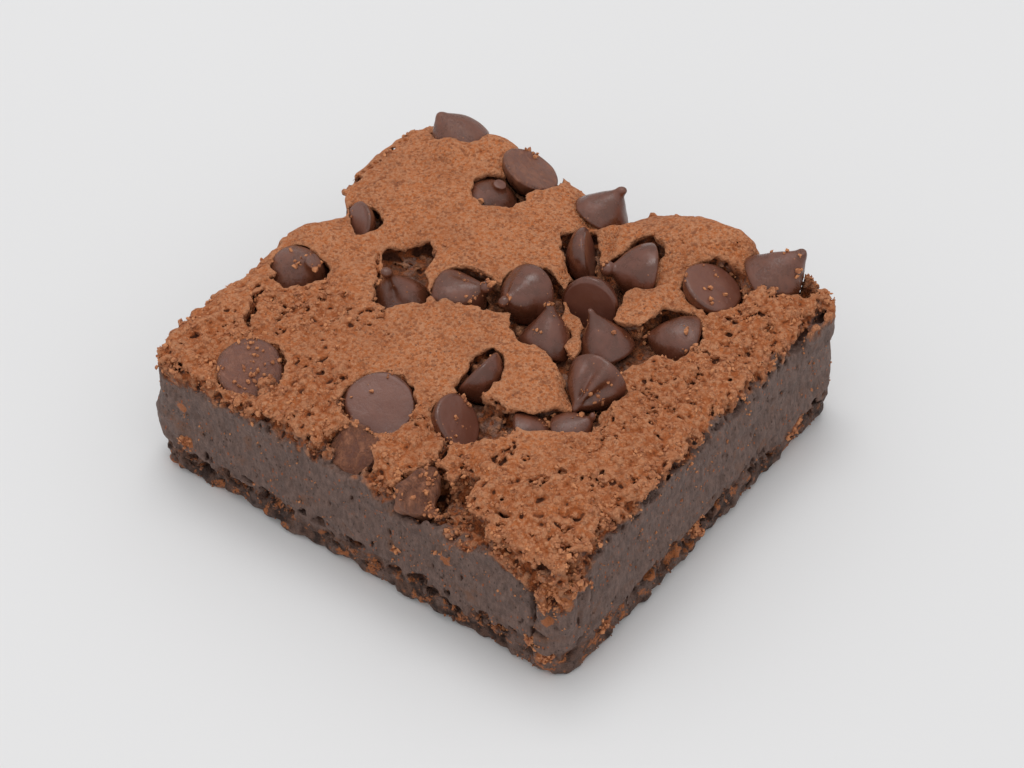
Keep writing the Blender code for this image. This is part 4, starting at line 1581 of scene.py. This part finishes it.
    @staticmethod
    def laid_along(facing_x: np.ndarray, deep: np.ndarray, long: np.ndarray, tall: np.ndarray) -> np.ndarray:
        """Returns the half widths of lumps that lie along their sides, one lump in each row."""
        return np.stack([np.where(facing_x, deep, long), np.where(facing_x, long, deep), tall], axis=1)

    def roll_base(self) -> None:
        """Rolls dark lumps along the base, with black hollows between them."""
        random = np.random.default_rng(Seed.BASE)
        for low, high, count, longest in self.base_lumps:
            long = random.uniform(0.35 * longest, longest, count)
            tall = random.uniform(0.55, 1.15, count) * min(self.thickest_lump, longest)
            deep = random.uniform(0.7, 1.3, count) * min(self.thickest_lump, longest)
            sunk = deep - random.uniform(0.1, 1.0, count)
            spots, facing_x = self.edge_spots(random, count, low, high, sunk)
            along = np.where(facing_x, spots[:, 1], spots[:, 0])
            to_corner = np.minimum(along, np.where(facing_x, self.depth, self.width) - along)
            long = np.minimum(long, np.maximum(to_corner - self.corner_clearance, 0.5))
            self.roll(spots, self.laid_along(facing_x, deep, long, tall))
        spots, facing_x = self.edge_spots(random, *self.base_hollows)
        spots = np.concatenate([spots, self.black_hollows])
        facing_x = np.concatenate([facing_x, [spot[0] > self.width for spot in self.black_hollows]])
        long = random.uniform(0.6, 2.2, len(spots)) * random.uniform(0.5, 1.0, len(spots))
        deep = random.uniform(0.9, 2.2, len(spots))
        tall = random.uniform(0.4, 0.95, len(spots))
        self.block.stamp(spots, self.laid_along(facing_x, deep, long, tall), hollow=True)

    def break_edges(self) -> None:
        """Breaks the crust's edge above the cut sides, and folds the smeared crumb at the near corner."""
        random = np.random.default_rng(Seed.EDGES)
        for low, high, count, longest, hollow in self.edge_breaks:
            long = random.uniform(0.4, 1.0, count) * longest
            deep = random.uniform(0.5, 1.0, count) * min(longest, 1.3)
            tall = random.uniform(0.45, 1.0, count) * min(longest, 1.0)
            sunk = random.uniform(-0.4, 0.5, count) if hollow else deep - random.uniform(-0.2, 0.5, count)
            spots, facing_x = self.edge_spots(random, count, low, high, sunk)
            radii = self.laid_along(facing_x, deep, long, tall)
            if hollow:
                self.block.stamp(spots, radii, hollow=True)
            else:
                self.roll(spots, radii)
        tufts = np.repeat(np.array(self.toasted_spots), self.lumps_in_tuft, axis=0)
        spots = tufts[:, :3] + random.normal(0.0, 0.5, (len(tufts), 3)) * tufts[:, 3:]
        self.roll(spots, random.uniform(0.35, 0.75, (len(tufts), 3)))
        self.block.stamp_rows(self.corner_folds, hollow=False)
        self.block.stamp_rows(self.corner_grooves, hollow=True)

    def open_crust(self) -> None:
        """Breaks the openings and cracks through the crust, with a thin plate of crust over rough walls."""
        maps = self.maps
        grain = Grain(Seed.OPENINGS)
        for number, opening in enumerate(self.openings):
            plan = outline_distance(maps["x"], maps["y"], opening.outline)
            if number == 0:
                plan = np.minimum(plan, -outline_distance(maps["x"], maps["y"], self.standing_plate))
            near = np.argwhere(plan > -self.plate_edge)
            low, high = near.min(0), near.max(0) + 1
            floor_cell = int((opening.floor - 1.2 - self.block.low[2]) / self.block.cell)
            cuts = (slice(low[0], high[0]), slice(low[1], high[1]), slice(floor_cell, None))
            (_, _, z), places, shape = self.block.cells_in(cuts)
            under = maps["crust"][cuts[:2]][:, :, None] - z
            ragged = (0.42 * grain.waves(places, 1.7) + 0.22 * grain.waves(places, 0.8)).reshape(shape)
            pull = grain.waves(places, 4.0).reshape(shape)
            hidden = blend(under, 0.8, 1.5) * (0.45 + 0.7 * pull)
            wall = plan[cuts[:2]][:, :, None] + ragged + hidden - 0.15
            floor = z - opening.floor - 0.7 * grain.waves(places, 2.2).reshape(shape)
            part = self.block.depth[cuts]
            np.minimum(part, -soft_min(wall, floor, 0.7), out=part)
        for crack in self.cracks:
            low = np.min(crack.path, axis=0) - 1.5
            high = np.max(crack.path, axis=0) + 1.5
            lowest, highest = self.crack_heights
            cuts = self.block.window((*low, lowest), (*high, highest))
            (x, y, z), places, shape = self.block.cells_in(cuts)
            warp = [0.35 * grain.waves(places + shift, 1.2).reshape(shape) for shift in (0.0, 31.0)]
            away = path_distance(x + warp[0], y + warp[1], crack.path)
            under = maps["crust"][cuts[:2]][:, :, None] - z
            half = crack.width / 2 * (1.0 - np.clip(under / crack.depth, -9.0, 1.0))
            part = self.block.depth[cuts]
            np.minimum(part, away - half, out=part)

    def seat_chips(self) -> None:
        """Presses each chip's seat into the crumb, open behind the base of a chip that shows it."""
        grain = Grain(Seed.SEATS)
        for chip in self.chips:
            reach = chip.tall + 2.5
            cuts = self.block.window(chip.middle - reach, chip.middle + reach)
            _, places, shape = self.block.cells_in(cuts)
            seat, shaft = chip.depth_inside(places)
            loose = 0.16 * grain.waves(places, 1.3) + 0.08 * grain.waves(places, 0.6)
            seat = seat + self.chip_gap + chip.roomy + loose
            if chip.base_up:
                shaft = shaft + self.shaft_gap + 2.2 * loose
                if chip.name == "front_flat_disc":
                    lip = outline_distance(places[:, 0], places[:, 1], self.lip_over_flat_disc)
                    shaft = np.minimum(shaft, -lip + 2.0 * loose)
                seat = np.maximum(seat, shaft)
            part = self.block.depth[cuts]
            np.minimum(part, -seat.reshape(shape), out=part)
        self.block.stamp_rows(self.undercuts, hollow=True)
        self.block.stamp_rows(self.over_rims, hollow=False)

    def roughen(self) -> None:
        """Gives each zone its own relief, from granules on broken crumb to faint waves on smooth skin."""
        block, maps = self.block, self.maps
        near = np.argwhere(np.abs(block.depth) < self.relief_reach)
        places = np.stack([block.axes[axis][near[:, axis]] for axis in range(3)], axis=1)
        plan = (near[:, 0], near[:, 1])
        zones = self.zones(places, *[maps[name][plan] for name in self.zone_maps])
        crumbly = maps["crumbly"][plan]
        grain = Grain(Seed.RELIEF)
        loose = zones["skin"] * crumbly + zones["inner"] + 0.5 * zones["base_band"]
        relief = (0.10 + 0.25 * loose) * grain.waves(places, 2.1)
        relief += (0.10 + 0.20 * loose) * grain.waves(places, 0.95)
        rough = loose > 0.3
        for height, shift, size in ((0.55, 70.0, 2.6), (0.34, 0.0, 1.25), (0.34, 40.0, 0.75)):
            granules = grain.granules(places[rough] + shift, size) - 0.05
            relief[rough] += (height * loose[rough]) * granules
        patchy = (crumbly + 0.5 * zones["inner"]) * (0.75 + 0.9 * grain.waves(places, 6.5))
        patchy = np.clip(patchy, 0.0, 1.0)
        torn = np.abs(grain.waves(places + 13.0, 2.3) + 0.35 * grain.waves(places, 0.8))
        gate = grain.waves(places + 29.0, 3.1) + 0.5 * grain.waves(places, 1.2)
        torn = (1.0 - blend(torn, 0.03, 0.12)) * blend(gate, 0.40 - 0.40 * patchy, 0.55 - 0.40 * patchy)
        holes = grain.waves(places + 51.0, 1.25) + 0.5 * grain.waves(places, 0.6)
        torn = np.maximum(torn, blend(holes, 1.07 - 0.44 * patchy, 1.17 - 0.44 * patchy))
        broken = np.clip(zones["skin"] + zones["inner"], 0.0, 1.0)
        relief -= self.torn_depth * torn * broken * blend(patchy, 0.08, 0.3)
        streaks = 0.14 * grain.waves(places, 1.1, (1.0, 1.0, 0.4)) + 0.11 * grain.waves(places, 0.62)
        smears = streaks + 0.25 * grain.waves(places, 4.6) + 0.10 * grain.waves(places, 2.0)
        relief += zones["cut_face"] * smears
        block.depth[tuple(near.T)] += relief.astype(np.float32)

    def zones(self, places: np.ndarray, crust: np.ndarray, inside: np.ndarray, crust_line: np.ndarray,
              band_line: np.ndarray) -> dict[str, np.ndarray]:
        """Tells the zones of the surface apart.

        Args:
            places: The points, one in each row.
            crust: The crust's height there.
            inside: How far the points lie inside the square.
            crust_line: The height at which the crust starts on the sides.
            band_line: The height at which the rough base ends.

        Returns:
            The share of skin, cut face, base band and inner crumb at each point.
        """
        grain = Grain(Seed.ZONES)
        z = places[:, 2] + 0.9 * grain.waves(places, 1.5) + 0.6 * grain.waves(places, 0.7)
        side = 1.0 - blend(inside, 1.1, 2.2)
        under = crust - places[:, 2]
        skin = (1.0 - blend(under, 0.55, 1.25)) * (1.0 - side * (1.0 - blend(under, 1.6, 0.4)) * 0.5)
        low = 1.0 - blend(z, band_line - 0.25, band_line + 0.25)
        below = 1.0 - blend(z, crust_line - 0.25, crust_line + 0.25)
        base_band = np.maximum(side * low, 1.0 - blend(places[:, 2], 0.3, 1.0))
        cut_face = side * below * (1.0 - low)
        skin = skin * (1.0 - np.maximum(base_band, cut_face))
        inner = np.clip(1.0 - skin - cut_face - base_band, 0.0, 1.0)
        return {"skin": skin, "cut_face": cut_face, "base_band": base_band, "inner": inner}

    def prick(self) -> None:
        """Pricks pores into the cut sides."""
        random = np.random.default_rng(Seed.PORES)
        spots, facing_x = self.edge_spots(random, *self.pores)
        wide = 0.16 + 0.22 * random.random(len(spots)) ** 3
        deep = random.uniform(0.45, 0.75, len(spots))
        tall = wide * random.uniform(0.9, 2.6, len(spots))
        self.block.stamp(spots, self.laid_along(facing_x, deep, wide, tall), hollow=True)

    def trim(self) -> None:
        """Keeps the crumb off the floor and inside the solid's box, and closes the block's own sides."""
        block = self.block
        heights = block.axes[2][None, None, :]
        np.minimum(block.depth, heights - self.underside_gap, out=block.depth)
        for axis, (low, high) in enumerate(self.reach_limits):
            along = np.expand_dims(block.axes[axis], [other for other in range(3) if other != axis])
            np.minimum(block.depth, np.minimum(along - low, high - along), out=block.depth)
        for axis in range(3):
            edge = [slice(None)] * 3
            for end in (0, -1):
                edge[axis] = end
                block.depth[tuple(edge)] = -1.0

    def thinned(self) -> bpy.types.Mesh:
        """Draws the body's skin with as few faces as its limit allows.

        Returns:
            The skin, without loose bits.
        """
        points, faces = self.block.surface()
        raw = make_mesh("raw_body", points, faces)
        log.info("body: %d faces before thinning", len(faces))
        thin = raw.modifiers.new("thin", "DECIMATE")
        thin.ratio = min(1.0, self.most_faces / (2 * len(faces)))
        graph = bpy.context.evaluated_depsgraph_get()
        mesh = bpy.data.meshes.new_from_object(raw.evaluated_get(graph))
        bpy.data.objects.remove(raw)
        joined = joined_faces(mesh)
        log.info("body: %d faces of loose bits taken off", np.count_nonzero(~joined))
        mesh = part_of_mesh(mesh, "whole_body", joined)
        mesh.polygons.foreach_set("use_smooth", np.ones(len(mesh.polygons), bool))
        return mesh

    def build(self) -> list[bpy.types.Object]:
        """Builds the body.

        Returns:
            The body's upper and lower piece, with their zones stored as masks.
        """
        steps = (self.lay_out, self.fill, self.roll_base, self.break_edges, self.open_crust, self.seat_chips,
                 self.roughen, self.prick, self.trim)
        for step in steps:
            step()
            log.info("body: %s", step.__name__)
        self.whole = self.thinned()
        self.mark_zones(self.whole)
        heights = read_rows(self.whole.polygons, "center", 3)[:, 2]
        parting = np.median(heights)
        for name, kept in (("crumb_crust", heights > parting), ("crumb_base", heights <= parting)):
            self.pieces.append(new_object(name, part_of_mesh(self.whole, name, kept)))
        return self.pieces

    def mark_zones(self, mesh: bpy.types.Mesh) -> None:
        """Stores the zones, the hollows and the peaks as masks on the mesh; the material paints shade into
        the hollows and highlight on the peaks.

        Args:
            mesh: The body's whole skin.
        """
        places = mesh_places(mesh)
        block, maps = self.block, self.maps
        read = [block.read(maps[name], places) for name in self.zone_maps]
        for name, share in self.zones(places, *read).items():
            add_mask(mesh, name, share)
        toasted = np.zeros(len(places))
        for x, y, z, size in self.toasted_spots:
            away = np.linalg.norm((places - np.array((x, y, z))) / size, axis=1)
            toasted = np.maximum(toasted, 1.0 - blend(away, 0.2, 1.2))
        add_mask(mesh, "toasted", toasted)
        on_top = mask_values(mesh, "skin") + mask_values(mesh, "inner")
        add_mask(mesh, "crumbly", block.read(maps["crumbly"], places) * on_top)
        # the hollow mask drives painted shade in the crumb's material
        near, wide = (block.read(block.fullness(reach), places) for reach in self.hollow_reaches)
        add_mask(mesh, "hollow", np.maximum(blend(near, 0.52, 0.72), blend(wide, 0.57, 0.78)))
        # the peak mask drives a painted highlight in the crumb's material
        add_mask(mesh, "peak", blend(0.5 - near, 0.02, 0.18))

    def dress(self, material: bpy.types.Material) -> None:
        """Gives the body its crumb and stands its pieces in for its node.

        Args:
            material: The crumb's material.
        """
        for piece in self.pieces:
            piece.data.materials.append(material)
            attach(piece, "root")
            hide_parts("brownie_body")


@dataclass
class Scatter:
    """Loose crumbs of one kind, joined in one piece."""

    site: CrumbSite
    count: int
    smallest: float
    largest: float
    finish: LooseCrumbFinish
    seed: int
    cluster: int
    spread: float
    piece: bpy.types.Object = field(init=False, default=None)

    @staticmethod
    def seed_shape() -> tuple[np.ndarray, np.ndarray]:
        """Makes the form that every crumb starts from.

        Returns:
            Its twelve corners and its twenty faces.
        """
        golden = (1.0 + math.sqrt(5.0)) / 2.0
        corners = []
        for a in (-1.0, 1.0):
            for b in (-golden, golden):
                corners += [(0.0, a, b), (a, b, 0.0), (b, 0.0, a)]
        corners = np.array(corners) / math.hypot(1.0, golden)
        edge = np.linalg.norm(corners[:, None] - corners[None], axis=2)
        joined = (edge > 0.1) & (edge < edge[edge > 0.1].min() * 1.01)
        faces = []
        for i, j, k in combinations(range(len(corners)), 3):
            if joined[i, j] and joined[j, k] and joined[i, k]:
                turn = np.dot(np.cross(corners[j] - corners[i], corners[k] - corners[i]), corners[i])
                faces.append((i, j, k) if turn > 0 else (i, k, j))
        return corners, np.array(faces)

    def seats(self, mesh: bpy.types.Mesh, weights: np.ndarray, count: int,
              seed: int) -> tuple[np.ndarray, np.ndarray]:
        """Draws seats on a mesh, in clusters round some of its points.

        Args:
            mesh: The mesh that carries the crumbs.
            weights: How likely each of its points is to carry one.
            count: About how many seats.
            seed: What sets one draw apart from another.

        Returns:
            The seats and the ways the surface faces there.
        """
        random = np.random.default_rng(seed)
        places = mesh_places(mesh)
        normals = read_rows(mesh.vertex_normals, "vector", 3)
        if weights.sum() <= 0.0:
            return np.zeros((0, 3)), np.zeros((0, 3))
        chosen = random.choice(len(places), max(1, count // self.cluster), p=weights / weights.sum())
        chosen = np.repeat(chosen, random.integers(1, 2 * self.cluster, len(chosen)))
        tree = KDTree(len(places))
        for number, place in enumerate(places.tolist()):
            tree.insert(place, number)
        tree.balance()
        strewn = places[chosen] + random.normal(0.0, self.spread, (len(chosen), 3))
        chosen = np.array([tree.find(place)[1] for place in strewn.tolist()])
        return places[chosen], normals[chosen]

    def build(self, seats: np.ndarray, normals: np.ndarray) -> bpy.types.Object:
        """Builds the crumbs on their seats.

        Args:
            seats: Where they lie.
            normals: The way the surface faces there.

        Returns:
            The crumbs' piece.
        """
        random = np.random.default_rng(self.seed)
        corners, faces = self.seed_shape()
        count = len(seats)
        size = self.smallest + (self.largest - self.smallest) * random.random((count, 1, 1)) ** 2.2
        stretch = random.uniform(0.50, 1.25, (count, 1, 3))
        jitter = random.uniform(0.48, 1.22, (count, len(corners), 1))
        shapes = corners[None] * jitter * stretch * size / 2
        spin = random.normal(size=(count, 4))
        spin /= np.linalg.norm(spin, axis=1, keepdims=True)
        w, x, y, z = spin.T
        turning = np.stack([
            np.stack([1 - 2 * (y * y + z * z), 2 * (x * y - z * w), 2 * (x * z + y * w)], axis=1),
            np.stack([2 * (x * y + z * w), 1 - 2 * (x * x + z * z), 2 * (y * z - x * w)], axis=1),
            np.stack([2 * (x * z - y * w), 2 * (y * z + x * w), 1 - 2 * (x * x + y * y)], axis=1),
        ], axis=1)
        shapes = np.einsum("nij,nkj->nki", turning, shapes)
        lifted = seats + normals * size[:, 0] * 0.15
        points = np.clip((shapes + lifted[:, None]).reshape(-1, 3), *ROOM)
        rows = (faces[None] + len(corners) * np.arange(count)[:, None, None]).reshape(-1, 3)
        self.piece = make_mesh(f"loose_crumbs_on_{self.site.value}", points, rows)
        self.piece.data.polygons.foreach_set("use_smooth", np.zeros(len(rows), bool))
        return self.piece

    def dress(self) -> None:
        """Gives the crumbs their finish and lets them ride on the brownie."""
        self.piece.data.materials.append(self.finish.material())
        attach(self.piece, "root")


@dataclass
class Studio:
    """A plain pale floor, soft light and the camera."""

    floor_size: float = 6.0
    sky: Colour = (1.0, 1.0, 1.0)
    sky_strength: tuple[float, float] = (0.05, 0.98)
    sky_bright_side: Place = (0.20, -0.25, 0.95)
    panel_size: float = 0.5
    panel_place: Place = (-0.16, 0.20, 1.02)
    panel_power: float = 2.6
    azimuth: float = 38.96
    elevation: float = 43.82
    roll: float = -2.25
    distance: float = 0.406
    target: Place = (34.5, 44.7, 0.0)
    lens: float = 89.26

    def lay_floor(self) -> None:
        """Lays the floor."""
        half = self.floor_size / 2
        mesh = bpy.data.meshes.new("floor")
        corners = [(-half, -half, 0), (half, -half, 0), (half, half, 0), (-half, half, 0)]
        mesh.from_pydata(corners, [], [(0, 1, 2, 3)])
        mesh.materials.append(FloorFinish().material())
        new_object("floor", mesh)

    def hang_lights(self) -> None:
        """Hangs the soft sky, brighter above, and one broad panel overhead."""
        world = bpy.data.worlds.new("soft_sky")
        bpy.context.scene.world = world
        world.use_nodes = True
        nodes, links = world.node_tree.nodes, world.node_tree.links
        sky = nodes["Background"]
        sky.inputs["Color"].default_value = (*self.sky, 1.0)
        facing = nodes.new("ShaderNodeVectorMath")
        facing.operation = "DOT_PRODUCT"
        facing.inputs[1].default_value = self.sky_bright_side
        strength = nodes.new("ShaderNodeMapRange")
        strength.inputs["From Min"].default_value = -1.0
        strength.inputs["To Min"].default_value = self.sky_strength[0]
        strength.inputs["To Max"].default_value = self.sky_strength[1]
        links.new(nodes.new("ShaderNodeTexCoord").outputs["Generated"], facing.inputs[0])
        links.new(facing.outputs["Value"], strength.inputs["Value"])
        links.new(strength.outputs["Result"], sky.inputs["Strength"])
        lamp = bpy.data.lights.new("broad_panel", "AREA")
        lamp.shape = "SQUARE"
        lamp.size = self.panel_size
        lamp.energy = self.panel_power
        panel = new_object("broad_panel", lamp)
        panel.location = self.panel_place
        panel.rotation_euler = Vector(self.panel_place).to_track_quat("Z", "Y").to_euler()

    def set_camera(self) -> None:
        """Sets the camera at the photograph's angle."""
        turn, rise = math.radians(self.azimuth), math.radians(self.elevation)
        back = Vector((math.sin(turn) * math.cos(rise), -math.cos(turn) * math.cos(rise), math.sin(rise)))
        right = Vector((math.cos(turn), math.sin(turn), 0.0))
        up = back.cross(right)
        roll = math.radians(self.roll)
        rolled_right = right * math.cos(roll) + up * math.sin(roll)
        rolled_up = up * math.cos(roll) - right * math.sin(roll)
        target = Vector((np.array(self.target) + CUT_CORNER) * MM)
        data = bpy.data.cameras.new("portrait")
        data.sensor_width = 36.0
        data.lens = self.lens
        data.clip_start = 0.01
        camera = new_object("portrait", data)
        turning = Matrix((rolled_right, rolled_up, back)).transposed()
        camera.matrix_world = Matrix.Translation(target + back * self.distance) @ turning.to_4x4()
        bpy.context.scene.camera = camera

    def build(self) -> None:
        """Builds the whole studio."""
        self.lay_floor()
        self.hang_lights()
        self.set_camera()
        bpy.context.scene.view_settings.view_transform = "Standard"


def scatter_crumbs(body: BrownieBody, chips: list[Chip]) -> list[Scatter]:
    """Scatters the loose crumbs over the crust, the chips, the sides and the base.

    Args:
        body: The brownie's body.
        chips: Its chips.

    Returns:
        The kinds of crumbs that were made.
    """
    toasted = LooseCrumbFinish("toasted_crumbs", (0.58, 0.24, 0.10), (0.34, 0.12, 0.052))
    dark = LooseCrumbFinish("dark_crumbs", (0.40, 0.155, 0.07), (0.10, 0.04, 0.024))
    mesh = body.whole
    places = mesh_places(mesh)
    off_floor = places[:, 2] > LOWEST_CRUMB
    up = mask_values(mesh, "skin")
    crumbly = body.block.read(body.maps["crumbly"], places)
    made = []
    kinds = [
        (Scatter(CrumbSite.CRUST, 5200, 0.22, 1.0, toasted, 51, 3, 0.45),
         (up + 0.7 * mask_values(mesh, "inner")) * crumbly ** 1.3),
        (Scatter(CrumbSite.CUT_FACE, 900, 0.22, 0.55, toasted, 52, 2, 0.5), mask_values(mesh, "cut_face")),
        (Scatter(CrumbSite.TUFT, 640, 0.35, 1.05, toasted, 55, 8, 0.45), mask_values(mesh, "toasted") ** 3),
        (Scatter(CrumbSite.BASE_BAND, 1100, 0.22, 0.7, dark, 53, 6, 0.7), mask_values(mesh, "base_band")),
    ]
    for kind, weights in kinds:
        kind.build(*kind.seats(mesh, weights * off_floor, kind.count, kind.seed + Seed.SCATTER))
        made.append(kind)
    on_chips = Scatter(CrumbSite.CHIP, 0, 0.22, 1.15, toasted, 54, 4, 0.36)
    seats, normals = [], []
    for number, chip in enumerate(chips):
        chip_mesh = chip.piece.data
        facing = read_rows(chip_mesh.vertex_normals, "vector", 3)
        places = mesh_places(chip_mesh)
        crust = body.block.read(body.maps["crust"], places)
        shown = (facing[:, 2] > FACING_UP) & (places[:, 2] > crust - DEEPEST_SHOWN)
        seed = Seed.CHIP_CRUMBS + number
        spots, ways = on_chips.seats(chip_mesh, shown.astype(float), chip.crumbs, seed)
        seats.append(spots)
        normals.append(ways)
    on_chips.build(np.concatenate(seats), np.concatenate(normals))
    return made + [on_chips]


def main() -> None:
    """Builds the brownie, its chips, its crumbs and the studio."""
    logging.basicConfig(level=logging.INFO, format="%(relativeCreated)7d ms %(message)s")
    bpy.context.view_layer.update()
    chocolate = ChocolateFinish().material()
    for chip in CHIPS:
        chip.build()
        chip.dress(chocolate)
        log.info("%s: %d faces", chip.piece.name, len(chip.piece.data.polygons))
    body = BrownieBody(CHIPS)
    body.build()
    body.dress(CrumbFinish().material())
    for piece in body.pieces:
        log.info("%s: %d faces", piece.name, len(piece.data.polygons))
    for kind in scatter_crumbs(body, CHIPS):
        kind.dress()
        log.info("%s: %d faces", kind.piece.name, len(kind.piece.data.polygons))
    Studio().build()
    bpy.context.view_layer.update()


if __name__ == "__main__":
    main()
